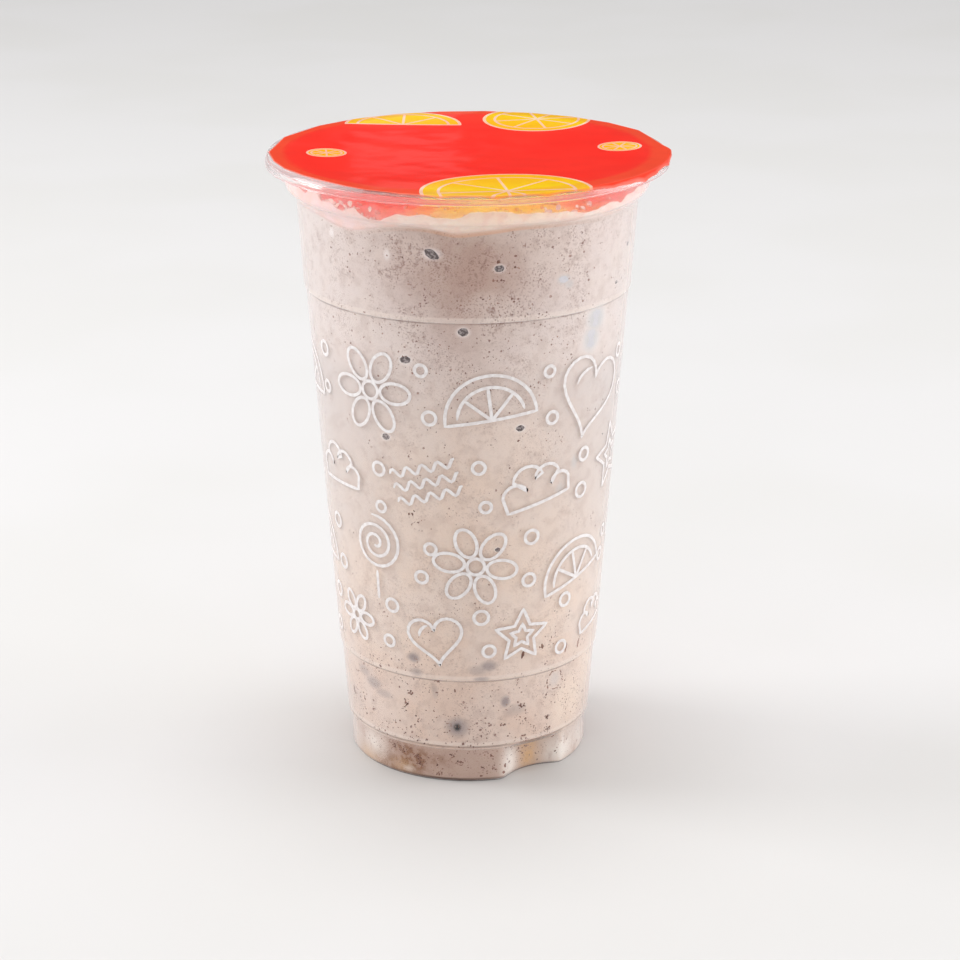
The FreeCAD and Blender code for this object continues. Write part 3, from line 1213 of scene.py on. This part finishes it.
def past_edge(x, y):
    """How far a point lies outside the film's cut edge; less than 0 is on the film."""
    return math.hypot(x, y) - film_edge(turn_of(x, y))[0]


def left_bare(x, y, z):
    """1 on top of the rim where the film was cut well inside the lip and leaves it bare."""
    cut_inside = film_edge(turn_of(x, y))[0] < rim_radius - 0.5
    return float(cut_inside and z > cup_height - 1.2 and past_edge(x, y) > -0.2)


note(film, "seal_sheen", [clamped((math.hypot(x, y) - seal_from) / seal_over) for x, y, z in points])
note(film, "cut_edge", [clamped((past_edge(x, y) + 0.35) / 0.3) for x, y, z in points])
bare = [left_bare(*(vertex.co / MM)) for vertex in cup.data.vertices]
note(cup, "bare", bare)
print("points on the bare rim:", round(sum(bare)))

# %% [markdown]
# ## Crumbs, bubbles and ice against the wall
# What touches the wall from inside is seen flat against it: a crumb is a small dark flake, a bubble of
# air a grey oval with a pale rim, a bit of ice a pale patch. All are the same form, a thin lens with an
# uneven outline laid on the drink's surface, so one helper makes them, with a number on each flake that
# its finish turns into a shade. Thousands of flakes are joined in one mesh, and every random choice
# comes from a seeded source, so that the cup is the same each time.

# %% A helper that lays flakes on the drink


def tilted(x, y, tilt):
    """A point of a flat drawing, turned by tilt degrees about the drawing's middle."""
    tilt_sin, tilt_cos = math.sin(math.radians(tilt)), math.cos(math.radians(tilt))
    return (x * tilt_cos - y * tilt_sin, x * tilt_sin + y * tilt_cos)


flake_depth = 0.12


def lay_flakes(name, flakes, finish, slot, sides=6, lift=0.05, uneven=0.28, inset=drink_inset):
    """One piece of lens-shaped flakes; each is (turn, z, half width, half height, tilt, shade)."""
    rng = random.Random(name)
    points, faces, shades = [], [], []
    for turn, z, half_width, half_height, tilt, shade in flakes:
        base = len(points)
        under = min(inset, wall - into_foot) if z < foot_height else inset
        per_mm = math.degrees(1 / max(skin_radius(turn, z, wall), 1.0))
        first = rng.uniform(0, 2 * math.pi)
        for k in range(sides):
            angle = first + 2 * math.pi * k / sides
            size = 1 + rng.uniform(-uneven, uneven)
            corner = (half_width * size * math.cos(angle), half_height * size * math.sin(angle))
            across, along = tilted(*corner, tilt)
            points.append(spot(turn + across * per_mm, z + along, under))
        points.append(spot(turn, z, under - lift))
        points.append(spot(turn, z, under + flake_depth))
        for k in range(sides):
            after = (k + 1) % sides
            faces.append((base + k, base + after, base + sides))
            faces.append((base + after, base + k, base + sides + 1))
            shades += [shade, shade]
    piece = make_piece(name, points, faces, finish, slot, smooth=False)
    piece.data.attributes.new("shade", "FLOAT", "FACE").data.foreach_set("value", shades)
    return piece


def flake_finish(name, dark, pale, grain=0.35, rough=0.6, mottled=0.15):
    """A matt finish between two colours, by each flake's shade, with a fine mottle."""
    finish, tree, out, place = new_finish(name)
    mottle = ranged(tree, cloud(tree, place, grain, 2.0), 0, 1, -mottled, mottled)
    base = blended(tree, maths(tree, "ADD", noted(tree, "shade"), mottle), dark, pale)
    finished(tree, out, shader(tree, Base_Color=base, Roughness=rough, Specular_IOR_Level=0.05))
    return finish


print("a flake is", flake_depth, "mm deep and lies", into_wall, "mm inside the plastic's inner face")

# %% [markdown]
# ## Biscuit crumbs
# The crumbs lie in drifts, not evenly: a cloudy pattern decides how likely one is at each spot, and every
# accepted crumb brings a few smaller neighbours. There are more of them near the top, where they float,
# and near the foot, where the heavy ones sink.

# %% Where crumbs lie
crumb_reach = (1.6, 139.5)


def crumb_field(name, count, sizes, shades, keep):
    """Flakes scattered over the wall; keep(turn, z) is how likely one is to stay."""
    rng = random.Random(name)
    flakes = []
    while len(flakes) < count:
        z, turn = rng.uniform(*crumb_reach), rng.uniform(-180, 180)
        if rng.random() > keep(turn, z):
            continue
        for _ in range(rng.choice((1, 1, 2, 3, 6))):
            size = rng.uniform(*sizes) * rng.choice((0.6, 0.8, 1.0, 1.0, 1.4))
            here = (turn + rng.gauss(0, 1.5), min(140.0, max(1.5, z + rng.gauss(0, 1.0))))
            x, y, _ = spot(*here)
            if here[1] > line_under_froth(x, y) - 0.5 or abs(here[1] - foot_height) < 0.7:
                continue
            shape = rng.choice((0.3, 0.5, 0.7, 1.0))
            flakes.append((*here, size, size * shape, rng.gauss(80, 50), rng.uniform(*shades)))
    return flakes[:count]


def drift(turn, z):
    """How thick the crumbs lie at a spot, from 0 to 1."""
    x, y, _ = spot(turn, z)
    here = Vector((x, y, z))
    patchy = noise.noise(here * 0.09) * 0.6 + noise.noise(here * 0.28) * 0.5
    high = 1 / (1 + math.exp((100 - z) / 8))
    low = 1 / (1 + math.exp((z - 30) / 4))
    # fewer crumbs on the lit flanks, which are painted paler where the side lamps fall
    return max(0.01, min(1.0, 0.02 + 0.64 * high + 0.5 * low + patchy)) * (1 - 0.75 * lit_flank(turn, z))


print("crumbs at the front, low, middle and high:", [round(drift(0, z), 2) for z in (15, 70, 125)])

# %% Scatter the small crumbs
crumb_brown = flake_finish("crumb_brown", colour(88, 50, 38), colour(164, 120, 104))
crumb_veiled = flake_finish("crumb_veiled", colour(130, 97, 88), colour(184, 153, 142))
fine = crumb_field("crumbs_fine", 4000, (0.07, 0.17), (0.25, 1.0), drift)
lay_flakes("crumbs_fine", fine, crumb_brown, "smoothie", 5, 0.03)
veiled = crumb_field("crumbs_veiled", 5600, (0.09, 0.26), (0.0, 1.0), drift)
lay_flakes("crumbs_veiled", veiled, crumb_veiled, "smoothie", 6, 0.02)

# %% [markdown]
# ## Crumbs that stand out
# A few crumbs and clusters are large enough to be seen one by one, and the eye soon notices when they are
# spread too evenly. So they are listed, each cluster as a loose heap of flakes round its middle.
# A broken ring of them lies round one lump of ice near the foot, which has pushed them aside.

# %% Place the coarse crumbs
coarse = crumb_field("crumbs_coarse", 300, (0.17, 0.3), (0.05, 0.7), lambda t, z: drift(t, z) ** 2)
coarse += [
    # turn, height, half width, half height, tilt, shade
    (-66.9, 17.3, 0.45, 1.2, 10, 0.25),
    (24.4, 33.6, 0.35, 1.0, -8, 0.25),
    (48.0, 32.4, 0.3, 1.2, -12, 0.8),
    (57.0, 32.0, 0.35, 1.4, -12, 0.95),
    (-29.0, 19.5, 0.2, 0.6, -35, 0.3),
    (-5.7, 25.0, 0.18, 0.5, 5, 0.4),
    (18.4, 3.4, 0.35, 0.7, 10, 0.6),
    (17.6, 1.8, 0.4, 0.4, 0, 0.6),
    (6.4, 1.5, 0.4, 0.24, 0, 0.5),
]
crumb_clusters = [
    # turn, height, how far they spread in mm, how many
    (-26.1, 23.1, 0.7, 16),
    (-29.0, 20.2, 0.6, 8),
    (-31.0, 18.4, 0.6, 6),
    (-49.4, 15.3, 0.45, 9),
    (-13.3, 27.4, 0.5, 8),
    (16.5, 15.3, 0.8, 9),
    (25.1, 19.7, 0.8, 12),
    (39.5, 14.8, 0.9, 12),
    (26.8, 11.6, 0.5, 6),
    (40.0, 11.6, 0.7, 9),
    (-23.1, 16.1, 0.9, 7),
    (-34.6, 13.9, 0.9, 6),
    (33.7, 34.6, 0.55, 14),
    (-38.0, 7.2, 0.8, 16),
    (-34.0, 6.2, 0.9, 12),
    (-25.0, 5.4, 0.8, 18),
    (-23.5, 4.2, 0.9, 20),
    (-7.7, 7.0, 0.5, 8),
    (-3.8, 5.0, 0.6, 10),
    (-14.2, 1.7, 0.6, 12),
    (11.3, 6.6, 0.35, 4),
    (7.0, 3.7, 0.5, 6),
    (13.0, 3.2, 0.6, 6),
    (38.0, 7.6, 1.2, 10),
    (130.0, 20.0, 0.9, 12),
    (150.0, 6.0, 0.9, 14),
    (205.0, 18.0, 0.8, 12),
    (232.0, 5.0, 0.9, 14),
    (186.0, 24.0, 0.7, 10),
]
rng = random.Random("clusters")
for turn, z, spread, count in crumb_clusters:
    for _ in range(count):
        here = (turn + 2 * spread * rng.gauss(0, 0.6), z + spread * rng.gauss(0, 0.5))
        size = rng.uniform(0.1, 0.3)
        coarse.append((*here, size, size * rng.uniform(0.4, 1.0), rng.gauss(60, 50), rng.uniform(0.0, 0.7)))
ring_turn, ring_z, ring_count = 43.2, 24.4, 30
for k in range(ring_count):
    lap = 2 * math.pi * k / ring_count
    if k % 7 < 5:
        turn = ring_turn + 4.6 * math.cos(lap) + rng.gauss(0, 0.3)
        z = ring_z + 2.5 * math.sin(lap) + rng.gauss(0, 0.15)
        half_width, half_height = rng.uniform(0.1, 0.2), rng.uniform(0.2, 0.45)
        coarse.append((turn, z, half_width, half_height, math.degrees(lap), rng.uniform(0.3, 0.9)))
lay_flakes("crumbs_coarse", coarse, crumb_brown, "smoothie", 8, 0.04, 0.32)

# %% [markdown]
# ## Air bubbles and ice
# A bubble of air pressed against the wall is a small window into the drink: its middle is dark grey, and the
# ring of milk round it that catches the light is a painted highlight in the drink's colour. Ice shows as a
# pale grey patch with soft edges.

# %% Bubbles and ice against the wall
rng = random.Random("air")
windows = [(*bubble, rng.uniform(0.1, 0.4)) for bubble in bubbles]
for _ in range(26):
    turn, z, size = rng.uniform(60, 290), rng.uniform(40, 136), rng.uniform(0.3, 0.7)
    windows.append((turn, z, size, size * rng.uniform(0.6, 0.9), rng.uniform(-30, 30), rng.uniform(0.1, 0.5)))
window_grey = flake_finish("bubble_window", colour(92, 80, 80), colour(176, 165, 163), 0.5, 0.3, 0.45)
lay_flakes("air_bubbles", windows, window_grey, "smoothie", 16, 0.06, 0.09)

ice = [(t, z, 0.75 * w, 0.75 * h, -12, share) for t, z, w, h, share in pale_ice if share > 0.5]
ice_pale = flake_finish("ice_pale", colour(200, 200, 206), colour(216, 213, 217), 1.6, 0.35)
lay_flakes("ice_bits", ice, ice_pale, "smoothie", 13, 0.02, 0.14)

# %% [markdown]
# ## Foam bubbles
# Where the froth meets the wall it is coarse: single bubbles can be made out, some as clear beads
# against the plastic. They are small balls, sunk halfway into the froth, of a thin milky skin that lets
# some light through, so they pick up the red of the film.

# %% Foam bubbles


def bead_finish():
    """A bubble's skin: thin, milky and glossy, with light coming through it."""
    finish, tree, out, place = new_finish("foam_bead")
    base = blended(tree, cloud(tree, place, 1.5), colour(255, 214, 204), colour(255, 240, 232))
    skin = shader(tree, Base_Color=base, Roughness=0.2, Specular_IOR_Level=0.5)
    finished(tree, out, mixed(tree, 0.4, skin, add(tree, "BsdfTranslucent", [base])))
    return finish


def on_ball(bead, turn, tip):
    """A point of a ball (x, y, z, radius); tip is the angle from its lowest point, in radians."""
    x, y, z, size = bead
    out, a = size * math.sin(tip), math.radians(turn)
    return (x + out * math.cos(a), y + out * math.sin(a), z - size * math.cos(tip))


def lay_beads(name, beads, finish, slot, rings=6, sectors=10):
    """One piece of small balls; each is (x, y, z, radius) in millimetres."""
    points, faces = [], []
    tips = [math.pi * i / rings for i in range(rings + 1)]
    for bead in beads:
        base = len(points)
        ball_points, ball_faces = turned(tips, lambda turn, tip: on_ball(bead, turn, tip), sectors)
        points += ball_points
        faces += [tuple(base + corner for corner in face) for face in ball_faces]
    return make_piece(name, points, faces, finish, slot)


rng = random.Random("foam")
mouth_radius = collar_radius - wall
wall_beads, floating_beads = 70, 520
beads = []
for _ in range(wall_beads):
    turn = rng.choice((rng.gauss(pile_turn, 8), rng.gauss(pile_turn, 8), rng.uniform(-180, 180)))
    size = rng.uniform(0.12, 0.36) * (1.2 if abs(around(turn, pile_turn)) < pile_width else 0.7)
    x, y, _ = on_round(mouth_radius - size * 0.7, turn, 0)
    z = froth_surface(x, y) + rng.uniform(-0.2, 0.6) * size
    beads.append((*on_round(skin_radius(turn, z, wall) - size * 0.8, turn, z), size))
for _ in range(floating_beads):
    turn, out_share = rng.uniform(-180, 180), math.sqrt(rng.random())
    size = rng.uniform(0.2, 0.7)
    x, y, _ = on_round(out_share * (mouth_radius - 2), turn, 0)
    beads.append((x, y, froth_surface(x, y) + 0.1 * size, size))
lay_beads("foam_bubbles", beads, bead_finish(), "froth")

# %% Froth smeared on the wall
smears = []
for _ in range(46):
    piled = (rng.uniform(14, 46), rng.gauss(pile_turn, 8), rng.gauss(pile_turn, 8))
    turn = rng.choice((*piled, rng.uniform(-180, 180)))
    z = froth_top + rng.uniform(-1.2, 1.2)
    smears.append((turn, z, rng.uniform(0.3, 1.1), rng.uniform(0.2, 0.7), rng.gauss(0, 25), rng.random()))
smear_cream = flake_finish("froth_smear", colour(232, 178, 168), colour(250, 218, 206), 0.8)
lay_flakes("froth_smears", smears, smear_cream, "froth", 10, 0.05, 0.25, wall + 0.02)

# %% [markdown]
# ## The print on the cup
# The cup is screen printed in white with simple line drawings all round it. Each drawing is a few strokes
# on flat paper, measured in millimetres; bending them round the wall and giving them the width and
# thickness of a layer of ink makes them real, slightly raised ribbons, as screen ink is.

# %% Simple strokes


def ring(radius, x=0.0, y=0.0, stretch=1.0, count=28):
    """A round or oval stroke."""
    turns = [2 * math.pi * k / count for k in range(count)]
    return [(x + radius * math.cos(t), y + stretch * radius * math.sin(t)) for t in turns], True


def divided(corners, closed, step=0.8):
    """Straight runs between corners, with points on them at even steps."""
    ends = corners[1:] + corners[:1] if closed else corners[1:]
    points = []
    for (x0, y0), (x1, y1) in zip(corners, ends):
        parts = max(1, round(math.hypot(x1 - x0, y1 - y0) / step))
        points += [(x0 + (x1 - x0) * k / parts, y0 + (y1 - y0) * k / parts) for k in range(parts)]
    return points if closed else points + [corners[-1]]


def half_round(radius, count, drop):
    """Points along the upper half of a circle whose middle is lowered by drop."""
    turns = [math.pi * k / count for k in range(count + 1)]
    return [(radius * math.cos(t), radius * math.sin(t) - drop) for t in turns]


straight = divided([(0, 0), (10, 0)], False)
print("a ring has", len(ring(1.0)[0]), "points, and a line of 10 mm has", len(straight))

# %% Flowers and stars


def flower(size, petals=6):
    """Petals round an open middle."""
    strokes = [ring(size * 0.2)]
    for k in range(petals):
        mid = 2 * math.pi * k / petals
        loop = []
        for i in range(22):
            t = 2 * math.pi * i / 22
            petal = (size * (0.62 + 0.36 * math.cos(t)), size * 0.23 * math.sin(t))
            loop.append(tilted(*petal, math.degrees(mid)))
        strokes.append((loop, True))
    return strokes


def star(size):
    """A five-pointed star with a small one in it."""
    strokes = []
    for scale in (1.0, 0.45):
        corners = []
        for k in range(10):
            r = size * scale * (1.0 if k % 2 == 0 else 0.48)
            t = math.pi / 2 + math.pi * k / 5
            corners.append((r * math.cos(t), r * math.sin(t)))
        strokes.append((divided(corners, True), True))
    return strokes


print("strokes in a flower:", len(flower(10)), "and in a star:", len(star(10)))

# %% Hearts and sweets


def heart(size):
    """A heart with a short shine line inside."""
    loop = []
    for k in range(40):
        t = 2 * math.pi * k / 40
        x = 16 * math.sin(t) ** 3
        y = 13 * math.cos(t) - 5 * math.cos(2 * t) - 2 * math.cos(3 * t) - math.cos(4 * t)
        loop.append((x * size / 17, y * size / 17))
    turns = (0, 0.3, 0.6, 0.9, 1.2)
    shine = [(-size * 0.55 * math.cos(t), size * 0.1 + size * 0.42 * math.sin(t)) for t in turns]
    return [(loop, True), (shine, False)]


def swirl(size, laps=2.6):
    """A sweet on a stick: a spiral and a straight stick under it."""
    count = 60
    spiral = []
    for k in range(count + 1):
        t = k / count * laps * 2 * math.pi
        r = size * 0.72 * (0.08 + 0.92 * k / count)
        spiral.append((r * math.cos(t - 2.1), size * 0.3 + r * math.sin(t - 2.1)))
    return [(spiral, False), (divided([(0, -size * 0.42), (0, -size * 1.15)], False), False)]


print("strokes in a heart:", len(heart(10)), "and in a sweet:", len(swirl(10)))

# %% Fruit, clouds and waves


def citrus(size):
    """Half a slice of fruit with its segments."""
    drop, inner = size / 2, size * 0.74
    rind = half_round(size, 26, drop)
    strokes = [(rind + divided([rind[-1], rind[0]], False)[1:-1], True)]
    for end in half_round(inner, 4, drop)[1:-1]:
        strokes.append((divided([(0, -drop), end], False), False))
    strokes.append((half_round(inner, 20, drop)[1:-1], False))
    return strokes


def cloudlet(size):
    """A small cloud of four humps on a flat base."""
    humps = [(-0.62, -0.05, 0.36), (-0.18, 0.28, 0.44), (0.36, 0.2, 0.38), (0.72, -0.1, 0.3)]
    loop = []
    for x, y, r in humps:
        for k in range(9):
            t = math.radians(165 - 150 * k / 8)
            loop.append((size * (x + r * math.cos(t)), size * (y + r * math.sin(t))))
    base = divided([(size * 0.95, -size * 0.42), (-size * 0.92, -size * 0.42)], False)
    return [(loop + base, True)]


def waves(size, rows=3):
    """Wavy lines above each other."""
    strokes = []
    for row in range(rows):
        y = (row - (rows - 1) / 2) * size * 0.42
        line = [(size * (k / 15 - 1), y + size * 0.12 * math.sin(k * 0.9)) for k in range(31)]
        strokes.append((line, False))
    return strokes


print("strokes in a slice:", len(citrus(10)), "a cloud:", len(cloudlet(10)), "the waves:", len(waves(10)))

# %% [markdown]
# ## Laying out the print
# A print that goes round a cup is set in staggered rows, so that no gap lines up with the one above. The
# drawings take turns, each a little turned and scaled, and small rings fill the gaps between them.

# %% Ink on the wall
ink_width, ink_height, ink_root = 0.82, 0.035, -0.03


def stroke_ribbon(points, closed, turn, z, tilt, store):
    """Adds one stroke as a raised ribbon on the wall to store, the lists of points and faces."""
    flat = [tilted(x, y, tilt) for x, y in points]
    count = len(flat)
    per_mm = math.degrees(1 / skin_radius(turn, z))
    widths = [1.0] * count
    if not closed:
        widths[0] = widths[-1] = 0.45
    all_points, faces = store
    base = len(all_points)
    for k, (x, y) in enumerate(flat):
        x0, y0 = flat[k - 1] if closed or k > 0 else flat[k]
        x1, y1 = flat[(k + 1) % count] if closed or k < count - 1 else flat[k]
        length = math.hypot(x1 - x0, y1 - y0) or 1.0
        nx, ny = -(y1 - y0) / length, (x1 - x0) / length
        half = ink_width / 2 * widths[k]
        crown = half * 0.94
        for out, rise in ((-half, ink_root), (-crown, ink_height), (crown, ink_height), (half, ink_root)):
            all_points.append(spot(turn + (x + nx * out) * per_mm, z + y + ny * out, -rise))
    last = count if closed else count - 1
    for k in range(last):
        a, b = base + 4 * k, base + 4 * ((k + 1) % count)
        for i in range(4):
            j = (i + 1) % 4
            faces.append((a + i, b + i, b + j, a + j))
    if not closed:
        faces.append(tuple(base + i for i in (0, 1, 2, 3)))
        end = base + 4 * (count - 1)
        faces.append(tuple(end + i for i in (3, 2, 1, 0)))


def ink_finish():
    """White ink, a little thinner and greyer in patches."""
    finish, tree, out, place = new_finish("white_ink")
    thin = cloud(tree, place, 1.2, 3.0)
    base = blended(tree, thin, colour(240, 236, 236), colour(229, 222, 221))
    finished(tree, out, shader(tree, Base_Color=base, Roughness=0.5, Specular_IOR_Level=0.35))
    return finish


white_ink = ink_finish()
print("the ink is", ink_width, "mm wide and", ink_height, "mm thick")

# %% Lay out and build the print
rows_of_print = [
    # height, first turn, drawings in turn, size in millimetres
    (99.0, -38.0, (flower, citrus, heart, swirl, star, flower, cloudlet, citrus), 10.8),
    (77.5, -16.0, (waves, cloudlet, star, waves, flower, heart, waves, cloudlet), 8.4),
    (57.0, -40.0, (swirl, flower, citrus, heart, cloudlet, flower, star, citrus), 9.6),
    (39.0, -15.0, (heart, star, cloudlet, flower, citrus, heart, star, cloudlet, flower), 6.6),
]
store = ([], [])
rng = random.Random("print")
for z, first, drawings, size in rows_of_print:
    step = 360 / len(drawings)
    for k, drawing in enumerate(drawings):
        turn = first + k * step + rng.uniform(-2, 2)
        height = z + rng.uniform(-1.5, 1.5)
        tilt = rng.uniform(-16, 16)
        for points, closed in drawing(size * rng.uniform(0.94, 1.08)):
            stroke_ribbon(points, closed, turn, height, tilt, store)
        for below in (-1, 1):
            dot_turn = turn + step / 2 + rng.uniform(-3, 3)
            points, closed = ring(rng.uniform(1.3, 1.8), count=16)
            stroke_ribbon(points, closed, dot_turn, height + below * rng.uniform(2.5, 7), 0, store)
make_piece("white_print", *store, white_ink, "clear_plastic", smooth=False)

# %% [markdown]
# ## The floor
# A plain pale floor takes the soft shadow that makes the cup stand somewhere. It is one large flat face
# with a faint, broad unevenness in its colour. It belongs to the stage and not to the object.

# %% Floor


def floor_finish():
    """A matt, pale surface whose tone drifts a little."""
    finish, tree, out, place = new_finish("pale_floor")
    base = blended(tree, cloud(tree, place, 160.0, 2.0), colour(214, 213, 213), colour(212, 211, 210))
    finished(tree, out, shader(tree, Base_Color=base, Roughness=0.55, Specular_IOR_Level=0.1))
    return finish


half = 6.0
floor_corners = [(-half, -half, 0), (half, -half, 0), (half, half, 0), (-half, half, 0)]
floor_mesh = bpy.data.meshes.new("floor")
floor_mesh.from_pydata(floor_corners, [], [(0, 1, 2, 3)])
floor_mesh.materials.append(floor_finish())
floor = bpy.data.objects.new("floor", floor_mesh)
bpy.context.scene.collection.objects.link(floor)
floor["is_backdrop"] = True
print("floor:", 2 * half, "m square")

# %% [markdown]
# ## Lamps
# A drink is shown best in plain, soft light. A wide lamp on each side brightens the flanks of the cup, one
# above lights the film and, through it, the froth, and a very small and weak one far behind is there only
# for the soft shine it leaves on the film. Area lamps are used because their size sets how soft it looks.

# %% Lamps


def soft_lamp(name, place, aim, size, power):
    """A square area lamp at place, turned to aim."""
    data = bpy.data.lights.new(name, "AREA")
    data.shape, data.size, data.energy = "SQUARE", size, power
    lamp = bpy.data.objects.new(name, data)
    lamp.location = place
    lamp.rotation_euler = (Vector(aim) - Vector(place)).to_track_quat("-Z", "Y").to_euler()
    bpy.context.scene.collection.objects.link(lamp)
    return lamp


middle = (0, 0, 0.08)
soft_lamp("lamp_left", (-1.1, 0.2, 0.6), middle, 0.5, 6.7)
soft_lamp("lamp_right", (1.2, 0.1, 0.3), middle, 0.8, 7.3)
soft_lamp("lamp_top", (0.0, 0.1, 1.5), middle, 0.6, 6.0)
soft_lamp("lamp_far", (-0.05, 1.6, 0.48), (0, 0, cup_height * MM), 0.08, 0.010)
print("lamps, W:", {lamp.name: round(lamp.energy, 3) for lamp in bpy.data.lights})

# %% [markdown]
# ## The room
# The room is an even pale glow. A glossy film needs something to mirror, so its reflections also meet a
# darker strip of wall, low down behind the cup. What the eye sees of the room is a little dimmer than its
# light, which keeps the pale cup apart from it. The Light Path node tells these kinds of rays apart.

# %% The room
room_light, room_seen, room_through = 0.86, 0.64, 0.9
room_mirrored, strip_mirrored = 0.8, 0.12
world = bpy.data.worlds.new("pale_room")
bpy.context.scene.world = world
world.use_nodes = True
tree = world.node_tree
tree.nodes.clear()
seen = add(tree, "LightPath").outputs
towards = add(tree, "SeparateXYZ", [add(tree, "TexCoord").outputs["Generated"]]).outputs
behind = ranged(tree, towards[1], 0.86, 0.95, 0, 1)
dark_strip = times(tree, behind, ranged(tree, towards[2], 0.26, 0.36, 1, 0))
mirrored = ranged(tree, dark_strip, 0, 1, room_mirrored, strip_mirrored, False)
strength = blended_number(tree, seen["Is Glossy Ray"], room_light, mirrored)
strength = largest(tree, strength, times(tree, seen["Is Transmission Ray"], room_through))
strength = blended_number(tree, seen["Is Camera Ray"], strength, room_seen)
glow = add(tree, "Background", [(1.0, 0.995, 0.99, 1), strength])
tree.links.new(glow.outputs[0], add(tree, "OutputWorld").inputs["Surface"])
print("the room's light is", room_light, "and", room_seen, "where it is seen")

# %% [markdown]
# ## Camera
# A small object looks natural through a long lens from a little above. The Standard view keeps the milk's
# pale tones as they are mixed. The box round all the pieces is written down beside the CAD model's, to
# show that nothing reaches past it.

# %% Camera and finish
camera_data = bpy.data.cameras.new("camera")
camera_data.lens = 97.345
camera_data.sensor_width = 36.0
looking_down = 19.231
camera = bpy.data.objects.new("camera", camera_data)
camera.location = (2.955 * MM, -601.03 * MM, 277.30 * MM)
camera.rotation_euler = (math.radians(90 - looking_down), 0, 0)
bpy.context.scene.collection.objects.link(camera)
bpy.context.scene.camera = camera
bpy.context.scene.view_settings.view_transform = "Standard"

model_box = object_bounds()
[[list(corner) for corner in box] for box in (cad_box, model_box)]
print("model box, mm:", [[round(c / MM, 2) for c in corner] for corner in model_box])
